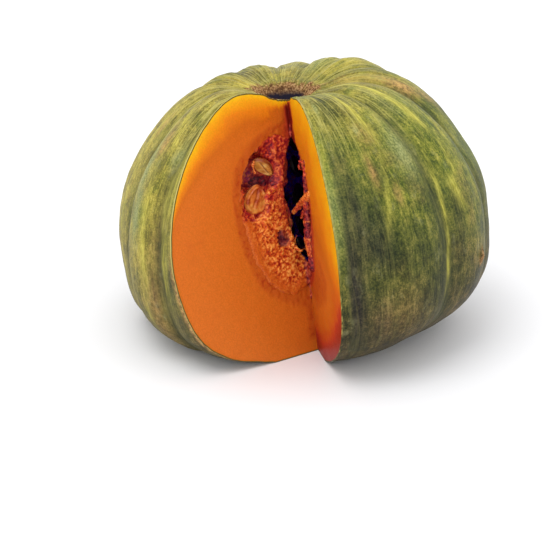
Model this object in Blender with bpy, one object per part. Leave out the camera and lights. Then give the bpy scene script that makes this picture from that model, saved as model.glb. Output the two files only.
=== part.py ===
"""A ripe winter squash with one wedge cut out of it, resting on its blossom end.

The rind and flesh are one solid. The notch opens the seed hollow, which stringy pulp lines,
and the seeds sit half sunk in that pulp. The model is metric, with +Z up and the notch
towards -Y. A bearing is an angle about the fruit's axis, from -Y towards +X.
"""

import math
import random

import bmesh
import bpy
from mathutils import Matrix, Vector

# The whole fruit
RADIUS = 0.110  # widest radius, at the fruit's own zero level
TOP_RISE = 0.880 * RADIUS  # zero level up to the stem end, as it would be with no dimple
BASE_DROP = 0.673 * RADIUS  # zero level down to the blossom end
TOP_FLARE = 0.871  # under 1 makes the upper half squarer than an ellipse
TOP_POINT = 1.151  # over 1 makes the stem end more pointed
BASE_FLARE = 0.896
BASE_POINT = 0.616
LEAN = math.radians(6.8)  # the stem end leans towards -X
NOD = math.radians(2.1)  # and a little backwards, towards +Y
BASE_RING_LEVEL = -0.628 * RADIUS  # the lowest ring of the base, around the blossom end
REST_DEPTH = 0.0022  # how far that ring is pressed flat where the fruit rests

# Stem end: a wide dimple, a deeper pit in its middle, and a corky ring around the pit
DIMPLE_DEPTH = 0.187 * RADIUS
DIMPLE_WIDTH = 0.296 * RADIUS
PIT_DEPTH = 0.055 * RADIUS
PIT_WIDTH = 0.100 * RADIUS
CORK_RADIUS = 0.180 * RADIUS
CORK_WIDTH = 0.034 * RADIUS
CORK_RISE = 0.0014

# Blossom end
BLOSSOM_DEPTH = 0.100 * RADIUS
BLOSSOM_WIDTH = 0.300 * RADIUS

# The middle of the base sits level, and the flanks around it lean with the fruit
BASE_INNER = 0.42 * RADIUS
BASE_OUTER = 0.80 * RADIUS

# Lobes: the bearing of each groove, and how deep the grooves are pressed
GROOVE_BEARINGS = (15, 50, 82, 112, 141, 164, 187, 217, 255, 287, 310, 340)
GROOVE_DEPTH = 0.036
LOBE_ROUNDNESS = 0.55  # under 1 keeps the lobes full and the grooves narrow
LOBE_VARIATION = 0.008
GROOVE_START = 0.06 * RADIUS  # nearer the axis than this there is no groove
GROOVE_FULL = 0.42 * RADIUS  # and from here on it has its full depth
SHOULDER = 0.40 * RADIUS  # above this height a groove also lowers the skin
COLUMN_SHARES = (0.0, 0.09, 0.26, 0.50, 0.74, 0.91)  # columns of faces across one lobe

# The notch: two flat cuts that meet in front of the fruit's axis
LEFT_CUT_BEARING = math.radians(-52.8)
LEFT_CUT_OFFSET = 0.189 * RADIUS
LEFT_CUT_SLOPE = math.radians(-9.1)
RIGHT_CUT_BEARING = math.radians(13.9)
RIGHT_CUT_OFFSET = -0.054 * RADIUS
RIGHT_CUT_SLOPE = math.radians(1.9)

# The seed hollow in the flesh, and the space inside its lining of pulp
HOLLOW_CENTRE = Vector((0.0, 0.0, 0.090)) * RADIUS
HOLLOW_RADII = Vector((0.550, 0.540, 0.500)) * RADIUS
HOLLOW_SQUARENESS = 2.7
PULP_GAP = 0.0004  # between the pulp and the flesh, and between the pulp and each seed
SPACE_CENTRE = Vector((0.140, 0.0, 0.140)) * RADIUS
SPACE_RADII = Vector((0.270, 0.440, 0.480)) * RADIUS

# The pocket that opens in the cut face of the pulp
POCKET_CENTRE = Vector((-0.215, -0.300, 0.370)) * RADIUS
POCKET_RADII = Vector((0.120, 0.120, 0.125)) * RADIUS

# Seeds
SEED_LENGTH = 0.0165
SEED_WIDTH = 0.0102
SEED_THICKNESS = 0.0034
SEED_TAPER = 0.34
SEED_ROW_BEARINGS = (54, 88, 122, 156, 190, 224, 254)
SEEDS_PER_ROW = 4
SEED_ROW_SPAN = math.radians(86)
SEED_ROW_DROP = math.radians(8)
SEED_STAND_OUT = 0.0012  # how far a seed's middle stands out of the pulp

RANDOM_START = 11


def smooth_share(value, start, end):
    """0 below start, 1 above end, and an S curve between them."""
    share = min(max((value - start) / (end - start), 0.0), 1.0)
    return share * share * (3.0 - 2.0 * share)


def direction(bearing):
    """The level unit vector at a bearing."""
    return Vector((math.sin(bearing), -math.cos(bearing), 0.0))


def make_material(name, colour, roughness):
    material = bpy.data.materials.new(name)
    material.use_nodes = True
    shader = material.node_tree.nodes["Principled BSDF"]
    shader.inputs["Base Color"].default_value = (*colour, 1.0)
    shader.inputs["Roughness"].default_value = roughness
    return material


def add_object(name, mesh_builder, parent, material=None):
    """Turn a bmesh into a named object that leans with the fruit."""
    mesh = bpy.data.meshes.new(name)
    mesh_builder.to_mesh(mesh)
    mesh_builder.free()
    mesh.shade_smooth()
    mesh.set_sharp_from_angle(angle=math.radians(40))
    if material:
        mesh.materials.append(material)
    piece = bpy.data.objects.new(name, mesh)
    bpy.context.scene.collection.objects.link(piece)
    piece.parent = parent
    return piece


def add_cutter(name, mesh_builder, parent):
    cutter = add_object(name, mesh_builder, parent)
    cutter.hide_render = True
    cutter.display_type = "WIRE"
    return cutter


def cut(piece, cutter):
    modifier = piece.modifiers.new(cutter.name, "BOOLEAN")
    modifier.operation = "DIFFERENCE"
    modifier.solver = "EXACT"
    modifier.object = cutter


def rind_profile(latitude):
    """Distance from the axis and height of the smooth fruit at a latitude."""
    out = math.cos(latitude)
    up = math.sin(latitude)
    if up >= 0.0:
        radius = RADIUS * out ** TOP_FLARE
        height = TOP_RISE * up ** TOP_POINT
        height -= DIMPLE_DEPTH * math.exp(-((radius / DIMPLE_WIDTH) ** 2))
        height -= PIT_DEPTH * math.exp(-((radius / PIT_WIDTH) ** 2))
        height += CORK_RISE * math.exp(-(((radius - CORK_RADIUS) / CORK_WIDTH) ** 2))
    else:
        radius = RADIUS * out ** BASE_FLARE
        height = -BASE_DROP * (-up) ** BASE_POINT
        height += BLOSSOM_DEPTH * math.exp(-((radius / BLOSSOM_WIDTH) ** 2))
    return radius, height


def profile_latitudes():
    """Even steps up the sides, and finer ones over the stem end."""
    sides = [math.radians(-90 + 7.0 * step) for step in range(21)]
    shoulder = [math.radians(56 + 4.5 * step) for step in range(5)]
    stem_end = [math.radians(78 + 2.4 * step) for step in range(6)]
    return sides + shoulder + stem_end


def column_bearings():
    """Bearings of the columns of faces, with one column in every groove."""
    bearings = []
    for index, start in enumerate(GROOVE_BEARINGS):
        end = GROOVE_BEARINGS[(index + 1) % len(GROOVE_BEARINGS)]
        width = (end - start) % 360
        bearings += [math.radians(start + share * width) for share in COLUMN_SHARES]
    return bearings


def lobe_scale(column, fullness):
    """How far the skin of one column stands out, as a share of its smooth radius."""
    share = COLUMN_SHARES[column % len(COLUMN_SHARES)]
    crown = math.sin(math.pi * share) ** LOBE_ROUNDNESS
    extra = fullness[column // len(COLUMN_SHARES)]
    return 1.0 - GROOVE_DEPTH * (1.0 - crown) + extra * crown


def level_base(point):
    """Turn the middle of the base back against the lean, so that the fruit sits level on it."""
    if point.z > 0.0:
        return point
    share = 1.0 - smooth_share(point.xy.length, BASE_INNER, BASE_OUTER)
    turn = Matrix.Rotation(LEAN * share, 4, "Y") @ Matrix.Rotation(NOD * share, 4, "X")
    return turn @ point


def build_rind(rest_plane):
    """The closed skin of the whole fruit: a turned profile with lobes pressed into it."""
    chooser = random.Random(RANDOM_START)
    fullness = [chooser.uniform(-LOBE_VARIATION, LOBE_VARIATION) for _ in GROOVE_BEARINGS]
    bearings = column_bearings()
    fruit = bmesh.new()
    chain = []
    for latitude in profile_latitudes():
        radius, height = rind_profile(latitude)
        chain.append(fruit.verts.new((0.0, -radius, height)))
    edges = [fruit.edges.new(pair) for pair in zip(chain, chain[1:])]
    bmesh.ops.spin(
        fruit,
        geom=chain + edges,
        cent=(0.0, 0.0, 0.0),
        axis=(0.0, 0.0, 1.0),
        angle=math.tau,
        steps=len(bearings),
        use_merge=True,
    )
    bmesh.ops.remove_doubles(fruit, verts=fruit.verts, dist=0.00001)
    for vertex in fruit.verts:
        radius = vertex.co.xy.length
        turn = math.atan2(vertex.co.x, -vertex.co.y) % math.tau
        column = round(turn / math.tau * len(bearings)) % len(bearings)
        fade = smooth_share(radius, GROOVE_START, GROOVE_FULL)
        scale = 1.0 + (lobe_scale(column, fullness) - 1.0) * fade
        height = vertex.co.z
        vertex.co = direction(bearings[column]) * radius * scale
        vertex.co.z = height * (1.0 + (scale - 1.0) * smooth_share(height, 0.0, SHOULDER))
        vertex.co = level_base(vertex.co)
        depth = (vertex.co - rest_plane[0]).dot(rest_plane[1])
        if depth < 0.0:
            vertex.co -= depth * rest_plane[1]
    bmesh.ops.recalc_face_normals(fruit, faces=fruit.faces)
    return fruit


def cut_line_meeting(height):
    """Where the two cuts meet at one height."""
    left_reach = LEFT_CUT_OFFSET + math.tan(LEFT_CUT_SLOPE) * height
    right_reach = RIGHT_CUT_OFFSET + math.tan(RIGHT_CUT_SLOPE) * height
    # Each cut is the set of points with x * cos(bearing) + y * sin(bearing) = reach
    cross = math.sin(RIGHT_CUT_BEARING - LEFT_CUT_BEARING)
    x = left_reach * math.sin(RIGHT_CUT_BEARING) - right_reach * math.sin(LEFT_CUT_BEARING)
    y = right_reach * math.cos(LEFT_CUT_BEARING) - left_reach * math.cos(RIGHT_CUT_BEARING)
    return Vector((x / cross, y / cross, height))


def build_wedge():
    """The wedge that was cut out, made longer than the fruit on every side."""
    wedge = bmesh.new()
    rings = []
    for height in (-1.2 * RADIUS, 1.4 * RADIUS):
        corner = cut_line_meeting(height)
        left = corner + direction(LEFT_CUT_BEARING) * 2.0 * RADIUS
        right = corner + direction(RIGHT_CUT_BEARING) * 2.0 * RADIUS
        rings.append([wedge.verts.new(point) for point in (corner, left, right)])
    for index in range(3):
        following = (index + 1) % 3
        wedge.faces.new((rings[0][index], rings[0][following], rings[1][following], rings[1][index]))
    wedge.faces.new(rings[0][::-1])
    wedge.faces.new(rings[1])
    bmesh.ops.recalc_face_normals(wedge, faces=wedge.faces)
    return wedge


def build_ellipsoid(centre, radii, squareness=2.0, segments=28, rings=14):
    """A closed egg shape: squareness 2 is an ellipsoid, and more is boxier."""
    egg = bmesh.new()
    bmesh.ops.create_uvsphere(egg, u_segments=segments, v_segments=rings, radius=1.0)
    for vertex in egg.verts:
        out = vertex.co.xy.length
        size = (out ** squareness + abs(vertex.co.z) ** squareness) ** (1.0 / squareness)
        unit = vertex.co / size
        vertex.co = centre + Vector(a * b for a, b in zip(unit, radii))
    return egg


def build_seed(margin=0.0):
    """A flat seed along X, pointed towards +X, with a margin added all around."""
    seed = bmesh.new()
    bmesh.ops.create_uvsphere(seed, u_segments=8, v_segments=6, radius=1.0)
    half = Vector((SEED_LENGTH, SEED_WIDTH, SEED_THICKNESS)) / 2.0
    half += Vector((margin, margin, margin))
    for vertex in seed.verts:
        across, through, along = vertex.co
        narrow = 1.0 - SEED_TAPER * smooth_share(along, -0.2, 1.0)
        vertex.co = Vector((along * half.x, across * half.y * narrow, through * half.z))
    return seed


def seed_frame(place, along, facing):
    """A placement whose X runs along the seed and whose Z is square to its flat side."""
    along = along.normalized()
    side = facing.cross(along).normalized()
    facing = along.cross(side)
    frame = Matrix((along, side, facing)).transposed().to_4x4()
    frame.translation = place
    return frame


def seed_frames():
    """Two seeds in the pocket of the cut face, then rows of them around the lining."""
    up = Vector((0.0, 0.0, 1.0))
    left = direction(LEFT_CUT_BEARING)
    out_of_cut = Vector((math.cos(LEFT_CUT_BEARING), math.sin(LEFT_CUT_BEARING), 0.0))
    frames = [
        seed_frame(
            Vector((-0.165, -0.262, 0.400)) * RADIUS,
            up * 0.75 + left * 0.65,
            left * 0.75 - up * 0.5 + out_of_cut * 0.6,
        ),
        seed_frame(
            Vector((-0.222, -0.322, 0.262)) * RADIUS,
            up * 0.9 - left * 0.25,
            out_of_cut + up * 0.15,
        ),
    ]
    chooser = random.Random(RANDOM_START)
    for row, bearing in enumerate(SEED_ROW_BEARINGS):
        for step in range(SEEDS_PER_ROW):
            share = (step + 0.25 + 0.5 * (row % 2)) / SEEDS_PER_ROW - 0.5
            rise = SEED_ROW_SPAN * share - SEED_ROW_DROP
            turn = math.radians(bearing + chooser.uniform(-5.0, 5.0))
            unit = direction(turn) * math.cos(rise) + up * math.sin(rise)
            outward = Vector(a / b for a, b in zip(unit, SPACE_RADII)).normalized()
            place = SPACE_CENTRE + Vector(a * b for a, b in zip(unit, SPACE_RADII))
            place -= outward * SEED_STAND_OUT
            level = outward.cross(up).normalized()
            along = outward * 0.25 + up * chooser.uniform(0.5, 1.0) + level * chooser.uniform(-0.5, 0.5)
            facing = outward + level * chooser.uniform(-0.6, 0.6)
            frames.append(seed_frame(place, along, facing))
    return frames


def build_sockets(frames):
    """The sockets of all the seeds in the pulp, as one set of closed shapes."""
    sockets = bmesh.new()
    for frame in frames:
        socket = build_seed(margin=PULP_GAP)
        socket.transform(frame)
        shape = bpy.data.meshes.new("socket")
        socket.to_mesh(shape)
        socket.free()
        sockets.from_mesh(shape)
        bpy.data.meshes.remove(shape)
    return sockets


def lowest_and_middle(piece):
    """The centre of a piece's box in world space, at the level of its lowest point."""
    bpy.context.view_layer.update()
    evaluated = piece.evaluated_get(bpy.context.evaluated_depsgraph_get())
    points = [piece.matrix_world @ vertex.co for vertex in evaluated.data.vertices]
    low = Vector(min(point[axis] for point in points) for axis in range(3))
    high = Vector(max(point[axis] for point in points) for axis in range(3))
    return Vector(((low.x + high.x) / 2.0, (low.y + high.y) / 2.0, low.z))


def main():
    for old in list(bpy.data.objects):
        bpy.data.objects.remove(old, do_unlink=True)

    rind_colour = make_material("squash_rind", (0.19, 0.21, 0.06), 0.45)
    pulp_colour = make_material("seed_pulp", (0.62, 0.17, 0.02), 0.40)
    seed_colour = make_material("seed_coat", (0.70, 0.36, 0.10), 0.45)

    axis = bpy.data.objects.new("fruit_axis", None)
    bpy.context.scene.collection.objects.link(axis)
    lean = Matrix.Rotation(-NOD, 4, "X") @ Matrix.Rotation(-LEAN, 4, "Y")
    axis.matrix_world = lean

    rest_normal = lean.inverted().to_3x3() @ Vector((0.0, 0.0, 1.0))
    rest_point = rest_normal * (BASE_RING_LEVEL + REST_DEPTH)

    fruit = add_object("squash_fruit", build_rind((rest_point, rest_normal)), axis, rind_colour)
    wedge = add_cutter("cut_wedge", build_wedge(), axis)
    hollow = add_cutter("cut_hollow", build_ellipsoid(HOLLOW_CENTRE, HOLLOW_RADII, HOLLOW_SQUARENESS), axis)
    cut(fruit, wedge)
    cut(fruit, hollow)

    inset = Vector((PULP_GAP, PULP_GAP, PULP_GAP))
    lining = build_ellipsoid(HOLLOW_CENTRE, HOLLOW_RADII - inset, HOLLOW_SQUARENESS)
    pulp = add_object("seed_pulp", lining, axis, pulp_colour)
    frames = seed_frames()
    space = add_cutter("cut_space", build_ellipsoid(SPACE_CENTRE, SPACE_RADII, segments=20, rings=12), axis)
    pocket_shape = build_ellipsoid(POCKET_CENTRE, POCKET_RADII, segments=12, rings=8)
    pocket = add_cutter("cut_pocket", pocket_shape, axis)
    sockets = add_cutter("cut_sockets", build_sockets(frames), axis)
    for cutter in (wedge, space, pocket, sockets):
        cut(pulp, cutter)

    first = add_object("seed_01", build_seed(), axis, seed_colour)
    first.matrix_local = frames[0]
    for number, frame in enumerate(frames[1:], start=2):
        seed = bpy.data.objects.new(f"seed_{number:02d}", first.data)
        bpy.context.scene.collection.objects.link(seed)
        seed.parent = axis
        seed.matrix_local = frame

    axis.matrix_world = Matrix.Translation(-lowest_and_middle(fruit)) @ lean


main()
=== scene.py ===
"""The looks of a ripe winter squash with one wedge cut out.

The ribbed rind, the two knife-cut faces and the wall of the seed hollow are one closed skin.
Stringy pulp, loose strings and detailed seeds lie inside it. Lengths are in metres, +Z is up
and the notch faces -Y. A bearing is an angle about the fruit's own axis, from -Y towards +X.
"""

import math
import random

import bmesh
import bpy
import numpy as np
from mathutils import Matrix, Vector, noise


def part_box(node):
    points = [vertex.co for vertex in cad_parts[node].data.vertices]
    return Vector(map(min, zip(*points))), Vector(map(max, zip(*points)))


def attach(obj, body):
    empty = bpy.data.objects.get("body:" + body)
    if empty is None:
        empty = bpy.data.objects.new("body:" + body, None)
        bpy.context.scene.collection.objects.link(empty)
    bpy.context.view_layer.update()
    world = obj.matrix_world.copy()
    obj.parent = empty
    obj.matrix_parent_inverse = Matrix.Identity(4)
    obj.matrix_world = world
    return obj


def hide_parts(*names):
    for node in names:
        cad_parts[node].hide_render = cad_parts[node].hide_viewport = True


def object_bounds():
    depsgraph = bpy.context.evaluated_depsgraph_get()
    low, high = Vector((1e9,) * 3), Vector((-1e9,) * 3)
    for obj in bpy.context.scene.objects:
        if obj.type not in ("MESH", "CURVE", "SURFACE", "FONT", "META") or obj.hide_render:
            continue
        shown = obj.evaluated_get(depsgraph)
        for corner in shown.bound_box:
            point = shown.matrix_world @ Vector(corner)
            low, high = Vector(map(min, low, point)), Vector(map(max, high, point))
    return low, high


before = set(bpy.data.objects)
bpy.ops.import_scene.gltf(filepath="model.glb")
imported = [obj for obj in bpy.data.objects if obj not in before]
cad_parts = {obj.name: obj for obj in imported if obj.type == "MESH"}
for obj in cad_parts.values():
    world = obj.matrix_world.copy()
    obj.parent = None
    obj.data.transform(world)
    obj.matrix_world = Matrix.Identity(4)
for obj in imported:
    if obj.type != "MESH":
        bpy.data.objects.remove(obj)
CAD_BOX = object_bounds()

MM = 0.001

# The fruit's own frame: its axis leans, and its zero level is where it is widest
RADIUS = 0.110
LEAN = math.radians(6.8)
NOD = math.radians(2.1)
CENTRE_FROM_BOX = Vector((-0.0006, -0.0018, 0.0669))

# The smooth turned shape
TOP_RISE = 0.880 * RADIUS
BASE_DROP = 0.673 * RADIUS
TOP_FLARE = 0.871
TOP_POINT = 1.151
BASE_FLARE = 0.896
BASE_POINT = 0.616
BASE_RING_LEVEL = -0.628 * RADIUS
REST_DEPTH = 0.0022
DIMPLE_DEPTH = 0.187 * RADIUS
DIMPLE_WIDTH = 0.296 * RADIUS
CORK_RADIUS = 0.180 * RADIUS
CORK_WIDTH = 0.034 * RADIUS
CORK_RISE = 0.0014
BLOSSOM_DEPTH = 0.100 * RADIUS
BLOSSOM_WIDTH = 0.300 * RADIUS
BASE_INNER = 0.42 * RADIUS
BASE_OUTER = 0.80 * RADIUS

# Lobes
GROOVE_BEARINGS = (15, 50, 82, 112, 141, 164, 187, 217, 255, 287, 310, 340)
GROOVE_DEPTH = 0.036
LOBE_ROUNDNESS = 0.55
LOBE_VARIATION = 0.008
GROOVE_START = 0.06 * RADIUS
GROOVE_FULL = 0.42 * RADIUS
SHOULDER = 0.40 * RADIUS
LOBE_RANDOM_START = 11

# The two cuts
LEFT_CUT_BEARING = math.radians(-52.8)
LEFT_CUT_OFFSET = 0.189 * RADIUS
LEFT_CUT_SLOPE = math.radians(-9.1)
RIGHT_CUT_BEARING = math.radians(13.9)
RIGHT_CUT_OFFSET = -0.054 * RADIUS
RIGHT_CUT_SLOPE = math.radians(1.9)

# The seed hollow
HOLLOW_CENTRE = Vector((0.0, 0.0, 0.090)) * RADIUS
HOLLOW_RADII = Vector((0.550, 0.540, 0.500)) * RADIUS
HOLLOW_SQUARENESS = 2.7
SPACE_CENTRE = Vector((0.140, 0.0, 0.140)) * RADIUS
SPACE_RADII = Vector((0.270, 0.440, 0.480)) * RADIUS


def smooth_share(value, start, end):
    """0 below start, 1 above end, and an S curve between them."""
    share = min(max((value - start) / (end - start), 0.0), 1.0)
    return share * share * (3.0 - 2.0 * share)


def hump(value, middle, width):
    """A smooth hump of height 1."""
    return math.exp(-(((value - middle) / width) ** 2))


def direction(bearing):
    """The level unit vector at a bearing."""
    return Vector((math.sin(bearing), -math.cos(bearing), 0.0))


def angle_between(first, second):
    """The signed difference of two bearings, in degrees from -180 to 180."""
    return (first - second + 180.0) % 360.0 - 180.0


def fruit_matrix():
    """From the fruit's own frame to the part's frame."""
    low, high = (Vector(corner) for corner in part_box("squash_fruit"))
    centre = Vector(((low.x + high.x) / 2.0, (low.y + high.y) / 2.0, low.z)) + CENTRE_FROM_BOX
    lean = Matrix.Rotation(-NOD, 4, "X") @ Matrix.Rotation(-LEAN, 4, "Y")
    return Matrix.Translation(centre) @ lean


FRUIT = fruit_matrix()
JOIN_DISTANCE = 0.001 * MM  # points that are closer than this are one


def mesh_from(name, mesh_builder):
    """A bmesh as a mesh; the bmesh is freed."""
    mesh = bpy.data.meshes.new(name)
    mesh_builder.to_mesh(mesh)
    mesh_builder.free()
    return mesh


def add_object(name, data):
    """A new object in the scene."""
    made = bpy.data.objects.new(name, data)
    bpy.context.scene.collection.objects.link(made)
    return made


def add_piece(name, mesh_builder, materials, placement=FRUIT, sharp_angle=60):
    """Turn a bmesh into a finished object at the origin, riding on the one body."""
    mesh_builder.transform(placement)
    mesh = mesh_from(name, mesh_builder)
    mesh.shade_smooth()
    mesh.set_sharp_from_angle(angle=math.radians(sharp_angle))
    for material in materials:
        mesh.materials.append(material)
    piece = add_object(name, mesh)
    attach(piece, "root")
    return piece


def push_out(mesh_builder, heights):
    """Move each point of a bmesh along its normal by its height."""
    mesh_builder.normal_update()
    for vertex, height in zip(mesh_builder.verts, heights):
        vertex.co += vertex.normal * height


# ---------------------------------------------------------------- materials


def colour(hex_value):
    """An sRGB hex colour as linear RGBA."""
    channels = [int(hex_value[place:place + 2], 16) / 255.0 for place in (1, 3, 5)]
    linear = [c / 12.92 if c <= 0.04045 else ((c + 0.055) / 1.055) ** 2.4 for c in channels]
    return (*linear, 1.0)


def add_node(tree, kind, inputs=None, stops=None, **settings):
    """Add a node with its settings, its ramp's stops, and the values or links of its sockets."""
    made = tree.nodes.new(kind)
    for name, value in settings.items():
        setattr(made, name, value)
    if stops:
        elements = made.color_ramp.elements
        while len(elements) < len(stops):
            elements.new(1.0)
        for element, (position, shade) in zip(elements, stops):
            element.position = position
            element.color = colour(shade)
    for socket, value in (inputs or {}).items():
        if isinstance(value, bpy.types.NodeSocket):
            tree.links.new(value, made.inputs[socket])
        elif isinstance(value, str):
            made.inputs[socket].default_value = colour(value)
        else:
            made.inputs[socket].default_value = value
    return made


def new_material(name, finish):
    """A material whose Principled shader has the constant values in finish."""
    material = bpy.data.materials.new(name)
    material.use_nodes = True
    tree = material.node_tree
    shader = tree.nodes["Principled BSDF"]
    for socket, value in finish.items():
        shader.inputs[socket].default_value = value
    return material, tree, shader


# Painted shade for the depths of the hollow: a violet that looks nearly black there, as the light
# there has turned orange on the flesh
HOLLOW_VIOLET = "#3A14B0"

# What is painted on the rind's points, one attribute each. Besides the rind's own colours they
# hold painted light on the lit side and top, painted shade on the foot, in the grooves, in dim
# and deep patches and in the stem pit, and a painted sheen in some bloom
RIND_PAINT = (
    "sunny", "dusk", "veined", "lime", "bloom", "blush",
    "dim", "deep", "cork", "pit", "cut_edge", "groove",
)


def rind_material():
    """Weathered squash rind with its natural wax.

    The skin stretched as it grew, so its greens break into flecks and streaks along the
    meridians. The wax gives a soft sheen, and the stem scar is dry brown cork. Painted light
    makes the lit side and the top lighter, and painted shade darkens the foot, the grooves,
    some patches and the stem pit; some pale bloom is a painted sheen.
    """
    material, tree, shader = new_material(
        "waxy_squash_rind", {"IOR": 1.42, "Specular IOR Level": 0.18}
    )
    place = add_node(tree, "ShaderNodeTexCoord").outputs["Object"]
    meridian = add_node(tree, "ShaderNodeAttribute", attribute_name="meridian").outputs["Vector"]
    painted = {}
    for name in RIND_PAINT:
        painted[name] = add_node(tree, "ShaderNodeAttribute", attribute_name=name).outputs["Fac"]

    # Marks stretched along the meridians: width, length and detail
    marks = {}
    for name, width, length, detail in (
        ("bands", 18 * MM, 110 * MM, 3.0),
        ("streaks", 3.5 * MM, 26 * MM, 4.0),
        ("fibres", 1.2 * MM, 5 * MM, 3.0),
        ("scuffs", 10 * MM, 15 * MM, 6.0),
        ("veins", 4 * MM, 80 * MM, 2.0),
    ):
        stretch = (RADIUS / width, RADIUS / width, RADIUS / length)
        inputs = {0: meridian, 1: stretch}
        stretched = add_node(tree, "ShaderNodeVectorMath", inputs, operation="MULTIPLY").outputs[0]
        inputs = {"Vector": stretched, "Scale": 1.0, "Detail": detail, "Roughness": 0.6}
        marks[name] = add_node(tree, "ShaderNodeTexNoise", inputs).outputs[0]

    # Marks that run no particular way: size and detail
    for name, size, detail in (
        ("clouds", 15 * MM, 5.0),
        ("spots", 5 * MM, 4.0),
        ("stains", 26 * MM, 6.0),
        ("moss", 19 * MM, 5.0),
        ("speckle", 1.3 * MM, 3.0),
        ("flecks", 2.4 * MM, 2.0),
        ("grit", 0.7 * MM, 2.0),
    ):
        inputs = {"Vector": place, "Scale": 1.0 / size, "Detail": detail, "Roughness": 0.65}
        marks[name] = add_node(tree, "ShaderNodeTexNoise", inputs).outputs[0]

    pattern = -0.865
    for name, weight in (
        ("bands", 0.26),
        ("streaks", 0.30),
        ("fibres", 0.40),
        ("clouds", 0.50),
        ("spots", 0.35),
        ("speckle", 0.45),
        ("grit", 0.40),
    ):
        inputs = {0: marks[name], 1: weight, 2: pattern}
        pattern = add_node(tree, "ShaderNodeMath", inputs, operation="MULTIPLY_ADD").outputs[0]

    ramps = {}
    for name, factor, stops in (
        (
            "shady",
            pattern,
            ((0.34, "#36440E"), (0.46, "#60681E"), (0.56, "#7F7F2C"), (0.70, "#A69E44")),
        ),
        (
            "sunny",
            pattern,
            ((0.34, "#645C24"), (0.46, "#8C8132"), (0.56, "#A89842"), (0.70, "#C8B658")),
        ),
        ("dusk", pattern, ((0.34, "#1C1710"), (0.50, "#423822"), (0.66, "#786040"))),
        ("brown", pattern, ((0.36, "#4A3A1E"), (0.64, "#8F7443"))),
        ("green", pattern, ((0.36, "#28400E"), (0.64, "#687C26"))),
        ("lime", marks["fibres"], ((0.35, "#A09832"), (0.62, "#CEC45A"))),
        ("bloom", marks["speckle"], ((0.35, "#5E6B36"), (0.62, "#A2A56A"))),
        ("blush", marks["flecks"], ((0.38, "#6C5130"), (0.62, "#BE9558"))),
        ("dim", pattern, ((0.36, "#1C240E"), (0.52, "#38401A"), (0.68, "#5E5C2A"))),
        ("deep", pattern, ((0.36, "#131013"), (0.64, "#3A342E"))),
        ("groove", marks["streaks"], ((0.38, "#222A18"), (0.64, "#545430"))),
        ("cork", marks["speckle"], ((0.35, "#452A18"), (0.50, "#86613C"), (0.66, "#BC9A6C"))),
        ("vein", marks["veins"], ((0.46, "#000000"), (0.50, "#FFFFFF"), (0.54, "#000000"))),
        ("fleck", marks["flecks"], ((0.60, "#000000"), (0.74, "#909090"))),
        ("scuff", marks["scuffs"], ((0.60, "#000000"), (0.72, "#FFFFFF"))),
        ("stained", marks["stains"], ((0.50, "#000000"), (0.66, "#B0B0B0"))),
        ("mossy", marks["moss"], ((0.50, "#000000"), (0.64, "#B8B8B8"))),
    ):
        ramps[name] = add_node(tree, "ShaderNodeValToRGB", {0: factor}, stops=stops).outputs[0]

    # How much of each layer shows where something breaks its paint up
    shares = {}
    for name, factor, breaking, strength, least in (
        ("lime", painted["lime"], marks["streaks"], 3.0, -0.85),
        ("fleck", ramps["fleck"], marks["clouds"], 0.9, 0.0),
        ("scuff", ramps["scuff"], marks["clouds"], 0.7, 0.0),
        ("vein", ramps["vein"], painted["veined"], 1.0, 0.0),
    ):
        inputs = {0: breaking, 1: strength, 2: least}
        broken = add_node(
            tree, "ShaderNodeMath", inputs, operation="MULTIPLY_ADD", use_clamp=True
        ).outputs[0]
        inputs = {0: factor, 1: broken}
        shares[name] = add_node(
            tree, "ShaderNodeMath", inputs, operation="MULTIPLY", use_clamp=True
        ).outputs[0]

    # The base is the shaded copy; painted light, painted shade and the rind's own marks go over it
    shade = ramps["shady"]
    for share, layer in (
        (painted["sunny"], ramps["sunny"]),
        (ramps["mossy"], ramps["green"]),
        (ramps["stained"], ramps["brown"]),
        (painted["dusk"], ramps["dusk"]),
        (painted["groove"], ramps["groove"]),
        (painted["dim"], ramps["dim"]),
        (painted["deep"], ramps["deep"]),
        (painted["bloom"], ramps["bloom"]),
        (painted["blush"], ramps["blush"]),
        (shares["fleck"], "#8F8044"),
        (shares["scuff"], "#8C8A62"),
        (shares["vein"], "#AFA75C"),
        (shares["lime"], ramps["lime"]),
        (painted["cork"], ramps["cork"]),
        (painted["pit"], "#24202E"),
        (painted["cut_edge"], "#B4A860"),
    ):
        inputs = {0: share, 6: shade, 7: layer}
        shade = add_node(tree, "ShaderNodeMix", inputs, data_type="RGBA").outputs[2]

    roughness = 0.42
    for share, weight in ((marks["clouds"], 0.18), (painted["cork"], 0.40), (painted["pit"], 0.30)):
        inputs = {0: share, 1: weight, 2: roughness}
        roughness = add_node(tree, "ShaderNodeMath", inputs, operation="MULTIPLY_ADD").outputs[0]

    height = 0.0
    for name, weight in (("streaks", 0.8), ("fibres", 0.5), ("grit", 0.4)):
        inputs = {0: marks[name], 1: weight, 2: height}
        height = add_node(tree, "ShaderNodeMath", inputs, operation="MULTIPLY_ADD").outputs[0]
    inputs = {"Height": height, "Strength": 0.55, "Distance": 0.5 * MM}
    bump = add_node(tree, "ShaderNodeBump", inputs).outputs[0]

    tree.links.new(shade, shader.inputs["Base Color"])
    tree.links.new(roughness, shader.inputs["Roughness"])
    tree.links.new(bump, shader.inputs["Normal"])
    return material


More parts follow.
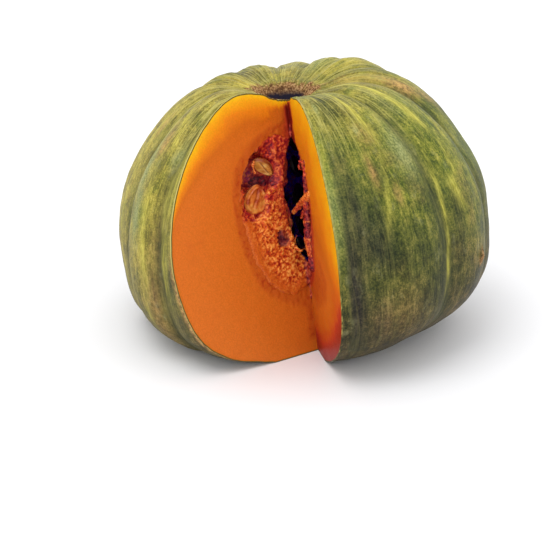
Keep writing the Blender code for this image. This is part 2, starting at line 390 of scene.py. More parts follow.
def flesh_material():
    """Raw squash flesh, cut with a knife.

    It is firm and moist, so light sinks a little way in and wet grain glints. It is yellow
    under the rind and redder towards the seeds. Painted shade makes it redder where the cuts
    meet and low on the right cut, and violet deep in the hollow.
    """
    finish = {
        "IOR": 1.38,
        "Specular IOR Level": 0.18,
        "Subsurface Weight": 0.12,
        "Subsurface Radius": (1.0, 0.35, 0.08),
        "Subsurface Scale": 2 * MM,
    }
    material, tree, shader = new_material("cut_squash_flesh", finish)
    place = add_node(tree, "ShaderNodeTexCoord").outputs["Object"]
    painted = {}
    for name in ("ripeness", "depth", "hidden", "redness"):
        painted[name] = add_node(tree, "ShaderNodeAttribute", attribute_name=name).outputs["Fac"]
    marks = {}
    for name, size in (("clouds", 15 * MM), ("ripples", 3 * MM), ("grain", 0.9 * MM)):
        inputs = {"Vector": place, "Scale": 1.0 / size, "Detail": 4.0, "Roughness": 0.6}
        marks[name] = add_node(tree, "ShaderNodeTexNoise", inputs).outputs[0]

    ripeness = painted["ripeness"]
    for share, weight, start in ((marks["clouds"], 0.26, -0.13), (marks["grain"], 0.10, -0.05)):
        inputs = {0: share, 1: weight, 2: start}
        wander = add_node(tree, "ShaderNodeMath", inputs, operation="MULTIPLY_ADD").outputs[0]
        ripeness = add_node(tree, "ShaderNodeMath", {0: ripeness, 1: wander}).outputs[0]
    ripening = (
        (0.00, "#E8B40C"),
        (0.08, "#E69C0E"),
        (0.22, "#DC7C12"),
        (0.42, "#C46416"),
        (0.80, "#CC691E"),
        (1.00, "#B44E1A"),
    )
    shade = add_node(tree, "ShaderNodeValToRGB", {0: ripeness}, stops=ripening).outputs[0]

    reds = ((0.30, "#B8401C"), (0.60, "#A8321E"), (1.00, "#6E150E"))
    red = add_node(tree, "ShaderNodeValToRGB", {0: painted["redness"]}, stops=reds).outputs[0]
    inputs = {0: painted["redness"], 1: 1.7}
    reddened = add_node(tree, "ShaderNodeMath", inputs, operation="MULTIPLY", use_clamp=True).outputs[0]

    # Torn grain, redder in its dips, only near the hollow
    steep = {}
    for name, share, weight, start in (
        ("dips", marks["ripples"], 9.0, -4.7),
        ("near_hollow", ripeness, 6.0, -4.9),
    ):
        inputs = {0: share, 1: weight, 2: start}
        steep[name] = add_node(
            tree, "ShaderNodeMath", inputs, operation="MULTIPLY_ADD", use_clamp=True
        ).outputs[0]
    inputs = {0: steep["dips"], 1: steep["near_hollow"]}
    torn = add_node(tree, "ShaderNodeMath", inputs, operation="MULTIPLY").outputs[0]

    # A dark line of rind shows edge-on around the flesh, and has faded out 0.9 mm in
    rind_line = ((0.0, "#FFFFFF"), (0.5, "#FFFFFF"), (1.0, "#000000"))
    inputs = {0: painted["depth"], 1: 1.0 / (0.9 * MM)}
    across = add_node(tree, "ShaderNodeMath", inputs, operation="MULTIPLY").outputs[0]
    line = add_node(tree, "ShaderNodeValToRGB", {0: across}, stops=rind_line).outputs[0]
    grain_tint = ((0.36, "#EAEAEA"), (0.64, "#FFFFFF"))
    tint = add_node(tree, "ShaderNodeValToRGB", {0: marks["grain"]}, stops=grain_tint).outputs[0]
    # Over the ripeness: grain tint, red torn grain, red painted shade, rind line, violet painted shade
    for share, layer, blend in (
        (1.0, tint, "MULTIPLY"),
        (torn, "#A23A14", "MIX"),
        (reddened, red, "MIX"),
        (line, "#47421A", "MIX"),
        (painted["hidden"], HOLLOW_VIOLET, "MIX"),
    ):
        inputs = {0: share, 6: shade, 7: layer}
        mixed = add_node(tree, "ShaderNodeMix", inputs, data_type="RGBA", blend_type=blend)
        shade = mixed.outputs[2]

    inputs = {0: marks["grain"], 1: 0.6, 2: marks["ripples"]}
    height = add_node(tree, "ShaderNodeMath", inputs, operation="MULTIPLY_ADD").outputs[0]
    inputs = {"Height": height, "Strength": 0.45, "Distance": 0.35 * MM}
    bump = add_node(tree, "ShaderNodeBump", inputs).outputs[0]
    inputs = {0: marks["grain"], 1: 0.35, 2: 0.24}
    roughness = add_node(tree, "ShaderNodeMath", inputs, operation="MULTIPLY_ADD").outputs[0]
    tree.links.new(shade, shader.inputs["Base Color"])
    tree.links.new(roughness, shader.inputs["Roughness"])
    tree.links.new(bump, shader.inputs["Normal"])
    return material


def pulp_material():
    """Wet stringy squash pulp, torn by the knife.

    Its strands catch the light in orange and the pits between them are red. Painted shade takes
    it from maroon to nearly black deep in the hollow, and darkens its pocket and its recesses.
    """
    finish = {
        "Roughness": 0.32,
        "IOR": 1.38,
        "Specular IOR Level": 0.30,
        "Subsurface Weight": 0.10,
        "Subsurface Radius": (1.0, 0.3, 0.1),
        "Subsurface Scale": 2 * MM,
    }
    material, tree, shader = new_material("wet_squash_pulp", finish)
    place = add_node(tree, "ShaderNodeTexCoord").outputs["Object"]
    painted = {}
    for name in ("strand", "firm", "pocket", "dark", "hidden"):
        painted[name] = add_node(tree, "ShaderNodeAttribute", attribute_name=name).outputs["Fac"]
    marks = {}
    for name, size in (("threads", 2.2 * MM), ("grain", 0.8 * MM)):
        inputs = {"Vector": place, "Scale": 1.0 / size, "Detail": 4.0, "Roughness": 0.6}
        marks[name] = add_node(tree, "ShaderNodeTexNoise", inputs).outputs[0]
    inputs = {0: painted["strand"], 1: 0.34, 2: marks["threads"]}
    threads = add_node(tree, "ShaderNodeMath", inputs, operation="MULTIPLY_ADD").outputs[0]
    ramps = {}
    for name, factor, stops in (
        (
            "torn",
            threads,
            ((0.42, "#8E1C12"), (0.56, "#C44C1E"), (0.72, "#DC722A"), (0.88, "#F0A24E")),
        ),
        (
            "pocket",
            threads,
            ((0.40, "#6A0E22"), (0.58, "#9A2022"), (0.74, "#C03A26"), (0.90, "#DA6A3A")),
        ),
        ("dark", threads, ((0.42, "#2C0618"), (0.62, "#520A22"), (0.86, "#8A2230"))),
        ("hidden", threads, ((0.50, HOLLOW_VIOLET), (0.90, "#7A1450"))),
        ("firm", marks["grain"], ((0.40, "#B44E1A"), (0.60, "#CC681E"))),
    ):
        ramps[name] = add_node(tree, "ShaderNodeValToRGB", {0: factor}, stops=stops).outputs[0]
    # Over the torn strands: firm flesh, maroon partly painted shade, dark and violet painted shade
    shade = ramps["torn"]
    for name in ("firm", "pocket", "dark", "hidden"):
        inputs = {0: painted[name], 6: shade, 7: ramps[name]}
        shade = add_node(tree, "ShaderNodeMix", inputs, data_type="RGBA").outputs[2]
    inputs = {"Height": marks["grain"], "Strength": 0.55, "Distance": 0.4 * MM}
    bump = add_node(tree, "ShaderNodeBump", inputs).outputs[0]
    tree.links.new(shade, shader.inputs["Base Color"])
    tree.links.new(bump, shader.inputs["Normal"])
    return material


def string_material():
    """Loose wet pulp strings: thin and juicy, so they are lighter and glossier than the pulp."""
    finish = {
        "Roughness": 0.26,
        "IOR": 1.38,
        "Subsurface Weight": 0.15,
        "Subsurface Radius": (1.0, 0.35, 0.1),
        "Subsurface Scale": 1 * MM,
    }
    material, tree, shader = new_material("wet_pulp_strings", finish)
    place = add_node(tree, "ShaderNodeTexCoord").outputs["Object"]
    hidden = add_node(tree, "ShaderNodeAttribute", attribute_name="hidden").outputs["Fac"]
    inputs = {"Vector": place, "Scale": 1.0 / (5 * MM), "Detail": 3.0}
    mottle = add_node(tree, "ShaderNodeTexNoise", inputs).outputs[0]
    bright = ((0.36, "#A23A18"), (0.50, "#C45A22"), (0.66, "#DC8440"))
    dark = ((0.38, "#2A0A30"), (0.66, "#6A1A2A"))
    # The lit colour, and a dark copy of it as painted shade for strings behind the cuts
    lit = add_node(tree, "ShaderNodeValToRGB", {0: mottle}, stops=bright).outputs[0]
    unlit = add_node(tree, "ShaderNodeValToRGB", {0: mottle}, stops=dark).outputs[0]
    inputs = {0: hidden, 6: lit, 7: unlit}
    shade = add_node(tree, "ShaderNodeMix", inputs, data_type="RGBA").outputs[2]
    tree.links.new(shade, shader.inputs["Base Color"])
    return material


def seed_material():
    """Fresh squash seed in its wet coat: tan and glossy, with a darker swollen rim."""
    finish = {
        "Roughness": 0.28,
        "IOR": 1.42,
        "Subsurface Weight": 0.08,
        "Subsurface Radius": (1.0, 0.5, 0.2),
        "Subsurface Scale": 1 * MM,
    }
    material, tree, shader = new_material("wet_seed_coat", finish)
    place = add_node(tree, "ShaderNodeTexCoord").outputs["Object"]
    painted = {}
    for name in ("rim", "seam", "pulpy", "hidden"):
        painted[name] = add_node(tree, "ShaderNodeAttribute", attribute_name=name).outputs["Fac"]
    inputs = {"Vector": place, "Scale": 1.0 / (4 * MM), "Detail": 4.0}
    mottle = add_node(tree, "ShaderNodeTexNoise", inputs).outputs[0]
    coat = ((0.34, "#B0642A"), (0.50, "#D08E3C"), (0.66, "#EABC6C"))
    juicy = ((0.36, "#9A3A1C"), (0.50, "#C46828"), (0.64, "#D89444"))
    juice = add_node(tree, "ShaderNodeValToRGB", {0: mottle}, stops=juicy).outputs[0]
    shade = add_node(tree, "ShaderNodeValToRGB", {0: mottle}, stops=coat).outputs[0]
    # The slit's pale paint is a painted highlight; the rim's dark paint fills the crack as painted
    # shade
    for share, layer in (
        (painted["seam"], "#E8BE74"),
        (painted["rim"], "#7A3414"),
        (painted["pulpy"], juice),
        (painted["hidden"], "#2A0F16"),
    ):
        inputs = {0: share, 6: shade, 7: layer}
        shade = add_node(tree, "ShaderNodeMix", inputs, data_type="RGBA").outputs[2]
    inputs = {"Height": mottle, "Strength": 0.3, "Distance": 0.3 * MM}
    bump = add_node(tree, "ShaderNodeBump", inputs).outputs[0]
    tree.links.new(shade, shader.inputs["Base Color"])
    tree.links.new(bump, shader.inputs["Normal"])
    return material


def paper_material():
    """Matte white backdrop paper."""
    finish = {"Base Color": colour("#E4E4E6"), "Roughness": 0.9, "Specular IOR Level": 0.2}
    return new_material("matte_backdrop_paper", finish)[0]


# ---------------------------------------------------------------- the skin of the whole fruit

SKIN_COLUMNS = 360
SKIN_JOIN_DISTANCE = 0.01 * MM
STEM_END_LEVEL = 0.3 * RADIUS  # the stem end is all above this
GROOVE_SOFTNESS = 0.004  # rounds the very bottom of each groove
PIT_FLOOR_DEPTH = 0.075 * RADIUS
PIT_BACK = 0.094 * RADIUS  # how far behind the axis the pit's middle is
PIT_HALF_WIDTH = 0.105 * RADIUS
PIT_HALF_LENGTH = 0.066 * RADIUS
PIT_SHADE = (0.90, 1.04)  # its shade fades between these shares of its half sizes
FAR_OUTSIDE_PIT = 9.0  # what pit_measure gives below the stem end
SCAR_OUTER = 0.190 * RADIUS  # the ragged cork around the pit ends here
STEM_LEAN = Vector((-0.022, -0.055, -0.020)) * RADIUS  # how far the stem end lies off the axis
STEM_LEAN_REACH = 0.42 * RADIUS
STEM_TILT = -0.06  # turns the stem end a little towards level
PEBBLING = ((1.00, 38), (0.22, 7), (0.10, 3))  # height and size in mm of the rind's waves and pebbles

# Swells and, below zero, dips of the rind: place and half size over RADIUS, and height in mm
SWELLS = (
    (0.00, -0.06, 0.69, 0.10, 2.0),
    (-0.17, -0.25, 0.78, 0.20, 3.2),
    (-0.35, 0.20, 0.78, 0.24, 2.0),
    (0.03, 0.42, 0.80, 0.12, -3.0),
    (0.28, 0.38, 0.78, 0.14, 1.8),
    (0.36, 0.28, 0.78, 0.18, 2.4),
    (-0.50, 0.28, 0.72, 0.17, -3.2),
    (0.90, 0.10, -0.55, 0.28, 4.6),
    (0.68, 0.00, -0.62, 0.24, 5.4),
    (-0.92, 0.15, -0.45, 0.30, 3.4),
    (0.91, 0.01, 0.36, 0.16, -2.4),
)

# Lime streaks: bearing at the top and at the bottom, top and bottom height over RADIUS,
# half width in degrees, strength
LIME_STREAKS = (
    (33.0, 36.4, 0.80, 0.60, 1.0, 0.95),
    (36.8, 27.0, 0.62, 0.15, 0.8, 0.35),
    (61.5, 63.5, 0.80, 0.54, 1.9, 1.00),
    (53.8, 48.5, 0.42, -0.35, 0.5, 0.95),
    (64.6, 62.3, 0.47, 0.31, 1.0, 0.60),
    (59.0, 59.7, 0.30, 0.13, 1.5, 0.85),
    (82.7, 78.0, 0.46, 0.26, 0.7, 0.65),
    (73.0, 70.0, 0.62, 0.40, 0.8, 0.45),
    (-62.0, -55.7, 0.76, 0.60, 1.4, 0.60),
    (-59.3, -55.5, 0.57, -0.15, 1.4, 0.40),
    (-50.3, -47.0, 0.50, -0.20, 1.0, 0.40),
    (-44.5, -43.5, 0.60, 0.20, 0.9, 0.40),
    (-74.6, -69.0, 0.78, 0.10, 0.6, 0.60),
    (-71.0, -66.0, 0.80, 0.55, 0.8, 0.60),
    (-84.0, -79.0, 0.76, -0.35, 1.5, 0.45),
    (-100.0, -96.0, 0.74, -0.20, 2.2, 0.40),
)
RANDOM_STREAKS = 60
STREAK_FREE_FRONT = (-40.0, 95.0)  # only the named streaks show between these bearings
STREAK_RANDOM_START = 5

# Patches of one tint: bearing, height over RADIUS, half width in degrees, half height, strength.
# The dark patches low down, the dim ones and the deep ones are painted shade, and some of the
# pale bloom patches are a painted sheen.
PATCHES = {
    # Pale wax bloom; some of these patches are a painted sheen
    "bloom": (
        (44.5, 0.50, 4.5, 0.11, 0.75),
        (150.0, 0.80, 9.0, 0.05, 0.60),
        (93.0, 0.63, 3.0, 0.05, 0.50),
        (57.0, 0.70, 4.0, 0.08, 0.30),
        (-67.0, 0.48, 3.4, 0.12, 0.80),
        (-63.5, 0.27, 2.6, 0.14, 0.75),
        (-51.5, 0.56, 2.2, 0.05, 0.50),
        (30.0, 0.64, 1.0, 0.02, 1.00),
        (17.5, 0.74, 0.9, 0.02, 0.80),
    ),
    "blush": (
        (64.0, 0.845, 8.0, 0.020, 0.70),
        (77.0, 0.79, 6.0, 0.035, 1.00),
        (87.0, 0.69, 4.0, 0.060, 1.00),
        (93.0, 0.60, 3.0, 0.060, 0.55),
        (30.0, -0.28, 8.0, 0.14, 0.16),
        (-62.5, 0.60, 3.0, 0.05, 0.70),
        (-80.3, 0.64, 1.6, 0.05, 0.70),
        (-52.4, 0.10, 2.0, 0.20, 0.25),
        (-55.0, -0.25, 3.0, 0.20, 0.45),
        (28.7, 0.46, 1.2, 0.07, 0.70),
        (34.7, 0.33, 1.4, 0.05, 0.55),
        (33.0, 0.62, 5.0, 0.06, 0.35),
    ),
    # Painted shade low down beside the two cuts
    "dusk": (
        (-54.0, -0.12, 6.0, 0.20, 0.95),
        (29.0, 0.02, 7.0, 0.10, 0.80),
    ),
    # Painted shade: dim patches near the stem end and to the right of the notch
    "dim": (
        (23.0, 0.76, 7.0, 0.09, 0.90),
        (-129.0, 0.81, 12.0, 0.04, 0.90),
        (105.0, 0.80, 7.0, 0.04, 0.65),
        (-74.0, 0.77, 9.0, 0.06, 0.40),
        (24.0, 0.28, 5.0, 0.26, 0.80),
        (27.0, 0.10, 8.0, 0.16, 0.80),
        (31.0, 0.44, 2.6, 0.09, 0.60),
        (38.0, 0.05, 4.0, 0.14, 0.55),
        (46.0, 0.22, 2.6, 0.14, 0.45),
        (44.0, -0.15, 7.0, 0.16, 0.55),
    ),
    # Painted shade, nearly black, in and beside the grooves next to the cuts
    "deep": (
        (19.5, 0.30, 2.2, 0.24, 0.65),
        (15.2, -0.12, 3.0, 0.42, 0.95),
        (24.0, 0.10, 3.5, 0.12, 0.50),
        (23.0, -0.30, 3.0, 0.14, 0.45),
        (57.0, 0.10, 2.6, 0.22, 0.45),
        (-43.8, 0.00, 2.2, 0.13, 0.70),
        (-50.5, 0.10, 1.1, 0.40, 0.25),
        (-58.7, 0.56, 1.2, 0.10, 0.35),
    ),
}

# The paler strip of rind beside the right cut: how far from the cut its middle is
PALE_STRIP_MIDDLE = 2.5 * MM
PALE_STRIP_WIDTH = 3.5 * MM

# A torn nick: its bearing and half width in degrees, and its height and half height over RADIUS
NICK_BEARING = 68.5
NICK_HALF_WIDTH = 2.6
NICK_HEIGHT = -0.19
NICK_HALF_HEIGHT = 0.045

# The side of the rind that is painted lighter and tanner, a painted light where the key light
# falls: its bearing in degrees, and how far round it reaches
LIT_SIDE_BEARING = -75.0
LIT_SIDE_WIDTH = 46.0


def smooth_profile(latitude):
    """Distance from the axis and height of the smooth fruit at a latitude."""
    out = abs(math.cos(latitude))
    up = math.sin(latitude)
    if up >= 0.0:
        radius = RADIUS * out ** TOP_FLARE
        height = TOP_RISE * up ** TOP_POINT
        height -= DIMPLE_DEPTH * hump(radius, 0.0, DIMPLE_WIDTH)
        height += CORK_RISE * hump(radius, CORK_RADIUS, CORK_WIDTH)
    else:
        radius = RADIUS * out ** BASE_FLARE
        height = -BASE_DROP * (-up) ** BASE_POINT
        height += BLOSSOM_DEPTH * hump(radius, 0.0, BLOSSOM_WIDTH)
    return radius, height


def skin_latitudes():
    """Even steps up the sides, and finer ones over the stem end."""
    sides = [math.radians(-90.0 + 1.25 * step) for step in range(133)]
    stem_end = [math.radians(75.5 + 0.5 * step) for step in range(30)]
    return sides + stem_end


def lobe_at(bearing_degrees):
    """Which lobe a bearing is in, and how high its crown is there, from 0 in a groove to 1."""
    for index, start in enumerate(GROOVE_BEARINGS):
        end = GROOVE_BEARINGS[(index + 1) % len(GROOVE_BEARINGS)]
        share = ((bearing_degrees - start) % 360) / ((end - start) % 360)
        if share < 1.0:
            break
    half_power = LOBE_ROUNDNESS / 2.0
    floor = GROOVE_SOFTNESS ** half_power
    rise = (math.sin(math.pi * share) ** 2 + GROOVE_SOFTNESS) ** half_power
    return index, (rise - floor) / ((1.0 + GROOVE_SOFTNESS) ** half_power - floor)


def level_base(point):
    """Turn the middle of the base back against the lean, so that the fruit sits level on it."""
    if point.z > 0.0:
        return point
    share = 1.0 - smooth_share(point.xy.length, BASE_INNER, BASE_OUTER)
    turn = Matrix.Rotation(LEAN * share, 4, "Y") @ Matrix.Rotation(NOD * share, 4, "X")
    return turn @ point


def swell_at(point):
    """How far the rind swells out at a place, beyond its even lobes."""
    total = 0.0
    for x, y, z, size, rise in SWELLS:
        share = hump((point - Vector((x, y, z)) * RADIUS).length, 0.0, size * RADIUS)
        total += rise * MM * share
    return total * smooth_share(abs(point.z), 0.12 * RADIUS, 0.35 * RADIUS)


def pit_measure(point):
    """Under 1 in the pit at the stem end, before the stem end is leant."""
    if point.z < STEM_END_LEVEL:
        return FAR_OUTSIDE_PIT
    return math.hypot(point.x / PIT_HALF_WIDTH, (point.y - PIT_BACK) / PIT_HALF_LENGTH)


def cork_share(point, from_stem):
    """How corky the rind is: a ragged ring around the stem scar."""
    if point.z < STEM_END_LEVEL or from_stem > 0.4 * RADIUS:
        return 0.0
    ragged = 0.035 * RADIUS * noise.noise(point / (5 * MM))
    ragged += 0.020 * RADIUS * noise.noise(point / (1.5 * MM))
    ring = 1.0 - smooth_share(from_stem + ragged, SCAR_OUTER - 1.5 * MM, SCAR_OUTER + 1.0 * MM)
    return ring * smooth_share(point.y + ragged, -0.12 * RADIUS, -0.05 * RADIUS)


def nick_share(point):
    """How near a place is to the torn nick in the rind."""
    bearing = math.degrees(math.atan2(point.x, -point.y))
    ragged = 0.5 * noise.noise(point / (3 * MM))
    across = angle_between(bearing, NICK_BEARING) / NICK_HALF_WIDTH
    up = (point.z / RADIUS - NICK_HEIGHT) / NICK_HALF_HEIGHT
    return 1.0 - smooth_share(math.hypot(across, up) + ragged, 0.5, 1.2)


def relief(point, meridian):
    """Fine height of the rind over its lobes: ribs, pleats at the stem end, and pebbling."""
    around = Vector((meridian.x, meridian.y, 0.0))
    upper = smooth_share(point.z, 0.0, 0.3 * RADIUS)
    beside_cut = 0.3 + 0.7 * smooth_share(distance_from_wedge(point), 0.0, 9 * MM)
    pleating = hump(point.xy.length, 0.32 * RADIUS, 0.19 * RADIUS) * upper * beside_cut
    height = 0.55 * MM * noise.noise(around * 8.0 + Vector((3.0, 7.0, meridian.z * 0.6)))
    height += 1.00 * MM * pleating * noise.noise(around * 19.0 + Vector((1.0, 4.0, meridian.z * 0.8)))
    for rise, size in PEBBLING:
        height += rise * MM * noise.noise(point / (size * MM))
    height += 1.4 * MM * nick_share(point) * (0.6 + noise.noise(point / (2.5 * MM)))
    height += swell_at(point)
    cork = cork_share(point, point.xy.length)
    return height + 0.8 * MM * cork * beside_cut * noise.noise(point / (1.8 * MM))


def build_skin():
    """The closed skin of the uncut fruit: a turned profile with its lobes and relief."""
    chooser = random.Random(LOBE_RANDOM_START)
    fullness = [chooser.uniform(-LOBE_VARIATION, LOBE_VARIATION) for _ in GROOVE_BEARINGS]
    lobes = [lobe_at(column * 360.0 / SKIN_COLUMNS) for column in range(SKIN_COLUMNS)]
    skin = bmesh.new()
    chain = []
    for latitude in skin_latitudes():
        radius, height = smooth_profile(latitude)
        chain.append(skin.verts.new((0.0, -radius, height)))
    edges = [skin.edges.new(pair) for pair in zip(chain, chain[1:])]
    bmesh.ops.spin(
        skin,
        geom=chain + edges,
        cent=(0.0, 0.0, 0.0),
        axis=(0.0, 0.0, 1.0),
        angle=math.tau,
        steps=SKIN_COLUMNS,
        use_merge=True,
    )
    bmesh.ops.remove_doubles(skin, verts=skin.verts, dist=SKIN_JOIN_DISTANCE)
    bmesh.ops.recalc_face_normals(skin, faces=skin.faces)

    groove = skin.verts.layers.float.new("groove")
    meridian = skin.verts.layers.float_vector.new("meridian")
    from_stem = skin.verts.layers.float.new("from_stem")
    pit = skin.verts.layers.float.new("pit")
    for vertex in skin.verts:
        radius = vertex.co.xy.length
        height = vertex.co.z
        turn = math.atan2(vertex.co.x, -vertex.co.y) % math.tau
        index, crown = lobes[round(turn / math.tau * SKIN_COLUMNS) % SKIN_COLUMNS]
        fade = smooth_share(radius, GROOVE_START, GROOVE_FULL)
        scale = 1.0 + fade * (fullness[index] * crown - GROOVE_DEPTH * (1.0 - crown))
        vertex[from_stem] = radius if height > 0.0 else RADIUS
        vertex[meridian] = (math.sin(turn), -math.cos(turn), math.atan2(height, radius))
        # Painted shade in the grooves: darker nearer a groove's bottom, and only on the wide sides
        vertex[groove] = 0.8 * (1.0 - crown) ** 2 * smooth_share(radius, 0.3 * RADIUS, 0.8 * RADIUS)
        vertex.co.xy *= scale
        vertex.co.z = height * (1.0 + (scale - 1.0) * smooth_share(height, 0.0, SHOULDER))
    skin.normal_update()
    lifts = [vertex.normal * relief(vertex.co, Vector(vertex[meridian])) for vertex in skin.verts]
    for vertex, lift in zip(skin.verts, lifts):
        in_pit = pit_measure(vertex.co)
        # Painted shade in the stem pit
        vertex[pit] = 1.0 - smooth_share(in_pit, *PIT_SHADE)
        vertex.co = level_base(vertex.co + lift)
        vertex.co.z -= PIT_FLOOR_DEPTH * math.exp(-(in_pit ** 4))
        near_stem = hump(vertex[from_stem], 0.0, STEM_LEAN_REACH)
        vertex.co.z += STEM_TILT * vertex.co.x * near_stem
        vertex.co += STEM_LEAN * near_stem
    press_base_flat(skin)
    return skin


def press_base_flat(skin):
    """Press the skin flat where the fruit rests, in the part's own level."""
    level = FRUIT.inverted().to_3x3() @ Vector((0.0, 0.0, 1.0))
    for vertex in skin.verts:
        depth = vertex.co.dot(level) - (BASE_RING_LEVEL + REST_DEPTH)
        if depth < 0.0:
            vertex.co -= depth * level


# ---------------------------------------------------------------- the two cuts

CUT_EDGE_LINES = (0.0, 0.7 * MM, 1.6 * MM)  # lines in the rind beside a cut, for its pale edge
SPLIT_REACH = 6 * MM  # faces whose middles are this near to the wedge are split at the lines
ON_LINE_DISTANCE = 0.02 * MM  # points this near to a line count as on it
BACK_OF_HOLLOW = math.radians(160)
MIDDLE_LEVEL = 0.10 * RADIUS
FLESH_STEPS = 30
WALL_STEPS = 30
FLESH_DEPTH = 45 * MM
HALVINGS = 30  # steps of the search for the place where a straight line passes an edge
LIP_ON_RIGHT = 0.840  # the flesh's lip, as a share of the way out to the hollow's wall
LIP_LOW_ON_RIGHT = 0.05  # how much further it reaches lower down
LIP_LOW_LEVELS = (0.1 * RADIUS, 0.4 * RADIUS)  # all of that below the first, none above the second
LIP_ON_LEFT = 0.950
CRACK_WIDTH = 3.2 * MM
CRACK_REACH = 10 * MM  # how far the crack's red paint reaches over the right cut
HALO_WIDTHS = (5 * MM, 15 * MM)  # of the redness along the line of the cuts, above and below
HALO_LEVELS = (0.45 * RADIUS, 0.64 * RADIUS)

# Heights between which the yellow under the rind goes deeper, on each cut
YELLOW_LEVELS_ON_RIGHT = (-0.15 * RADIUS, 0.25 * RADIUS)
YELLOW_LEVELS_ON_LEFT = (0.20 * RADIUS, 0.78 * RADIUS)

# Where each red mark of painted shade on the flesh comes or goes: heights, or depths behind the
# rind. The low one on the right cut is a painted shadow.
LOW_SHADOW_LEVELS = (-0.40 * RADIUS, 0.12 * RADIUS)
LOW_SHADOW_DEPTHS = (2 * MM, 26 * MM)
CRACK_LEVELS = (0.40 * RADIUS, 0.50 * RADIUS)
HALO_START_LEVELS = (-0.3 * RADIUS, 0.1 * RADIUS)


def cut_distances(point):
    """How far a point is past the left cut and past the right cut, both positive towards +X."""
    left = point.x * math.cos(LEFT_CUT_BEARING) + point.y * math.sin(LEFT_CUT_BEARING)
    left -= LEFT_CUT_OFFSET + math.tan(LEFT_CUT_SLOPE) * point.z
    right = point.x * math.cos(RIGHT_CUT_BEARING) + point.y * math.sin(RIGHT_CUT_BEARING)
    right -= RIGHT_CUT_OFFSET + math.tan(RIGHT_CUT_SLOPE) * point.z
    return left, right


def distance_from_wedge(point):
    """How far a point is outside the wedge that was cut out; negative inside it."""
    left, right = cut_distances(point)
    return max(-left, right)


def cut_normal(bearing, slope):
    """The unit vector square to a cut, towards +X."""
    return Vector((math.cos(bearing), math.sin(bearing), -math.tan(slope))).normalized()


LEFT_NORMAL = cut_normal(LEFT_CUT_BEARING, LEFT_CUT_SLOPE)
RIGHT_NORMAL = cut_normal(RIGHT_CUT_BEARING, RIGHT_CUT_SLOPE)


def cut_line_point(height):
    """Where the two cuts meet at one height."""
    left_reach = LEFT_CUT_OFFSET + math.tan(LEFT_CUT_SLOPE) * height
    right_reach = RIGHT_CUT_OFFSET + math.tan(RIGHT_CUT_SLOPE) * height
    cross = math.sin(RIGHT_CUT_BEARING - LEFT_CUT_BEARING)
    x = left_reach * math.sin(RIGHT_CUT_BEARING) - right_reach * math.sin(LEFT_CUT_BEARING)
    y = right_reach * math.cos(LEFT_CUT_BEARING) - left_reach * math.cos(RIGHT_CUT_BEARING)
    return Vector((x / cross, y / cross, height))


def open_wedge(skin):
    """Split the skin along both cuts and beside them, and take the wedge of skin away."""
    for bearing, normal, offset, outward in (
        (LEFT_CUT_BEARING, LEFT_NORMAL, LEFT_CUT_OFFSET, -1.0),
        (RIGHT_CUT_BEARING, RIGHT_NORMAL, RIGHT_CUT_OFFSET, 1.0),
    ):
        on_cut = Vector((math.cos(bearing), math.sin(bearing), 0.0)) * offset
        for line in CUT_EDGE_LINES:
            near = [
                face
                for face in skin.faces
                if abs(distance_from_wedge(face.calc_center_median())) < SPLIT_REACH
            ]
            edges = {edge for face in near for edge in face.edges}
            corners = {vertex for face in near for vertex in face.verts}
            bmesh.ops.bisect_plane(
                skin,
                geom=[*corners, *edges, *near],
                dist=ON_LINE_DISTANCE,
                plane_co=on_cut + normal * outward * line,
                plane_no=normal,
            )
    inside = [face for face in skin.faces if distance_from_wedge(face.calc_center_median()) < 0.0]
    bmesh.ops.delete(skin, geom=inside, context="FACES")


def hollow_measure(point):
    """Under 1 inside the seed hollow, 1 on its wall, and over 1 in the flesh."""
    x, y, z = (a / b for a, b in zip(point - HOLLOW_CENTRE, HOLLOW_RADII))
    total = math.hypot(x, y) ** HOLLOW_SQUARENESS + abs(z) ** HOLLOW_SQUARENESS
    return total ** (1.0 / HOLLOW_SQUARENESS)


def lip_measure(point):
    """The hollow measure where the flesh ends on a cut: a ragged lip that covers the pulp's edge."""
    left, right = cut_distances(point)
    if abs(left) > abs(right):
        return LIP_ON_RIGHT - LIP_LOW_ON_RIGHT * (1.0 - smooth_share(point.z, *LIP_LOW_LEVELS))
    reach = (point - cut_line_point(point.z)).dot(direction(LEFT_CUT_BEARING))
    lip = LIP_ON_LEFT + 0.030 * noise.noise(point / (6 * MM)) + 0.018 * noise.noise(point / (2 * MM))
    return LIP_ON_RIGHT + (lip - LIP_ON_RIGHT) * smooth_share(reach, 0.0, 0.12 * RADIUS)


def way_out(point, middle, edge_of):
    """Where the straight line from the middle of the cut line to a point passes an edge."""
    inner, outer = 0.0, 1.0
    for _ in range(HALVINGS):
        share = (inner + outer) / 2.0
        place = middle.lerp(point, share)
        if hollow_measure(place) < edge_of(place):
            inner = share
        else:
            outer = share
    return middle.lerp(point, outer)


def hollow_wall_point(start, share):
    """A point on the hollow's wall, a share of the way from its edge to its far side."""
    unit = Vector(a / b for a, b in zip(start - HOLLOW_CENTRE, HOLLOW_RADII)).normalized()
    on_way = unit.slerp(direction(BACK_OF_HOLLOW), share)
    scaled = Vector(a * b for a, b in zip(on_way, HOLLOW_RADII))
    return HOLLOW_CENTRE + scaled / hollow_measure(HOLLOW_CENTRE + scaled)


def cut_roughness(point, share):
    """How a point of a cut face stands off it: faint knife waves, and torn grain near the hollow."""
    wave = 0.14 * MM * noise.noise(point / (9 * MM)) * smooth_share(share, 0.0, 0.05)
    near_hollow = 1.0 - smooth_share(hollow_measure(point), 0.95, 1.15)
    torn = 0.45 * MM * near_hollow * (noise.noise(point / (2.2 * MM)) - 0.25)
    left, right = cut_distances(point)
    if abs(left) < abs(right):
        return LEFT_NORMAL * (wave + torn)
    return -RIGHT_NORMAL * (wave + torn)


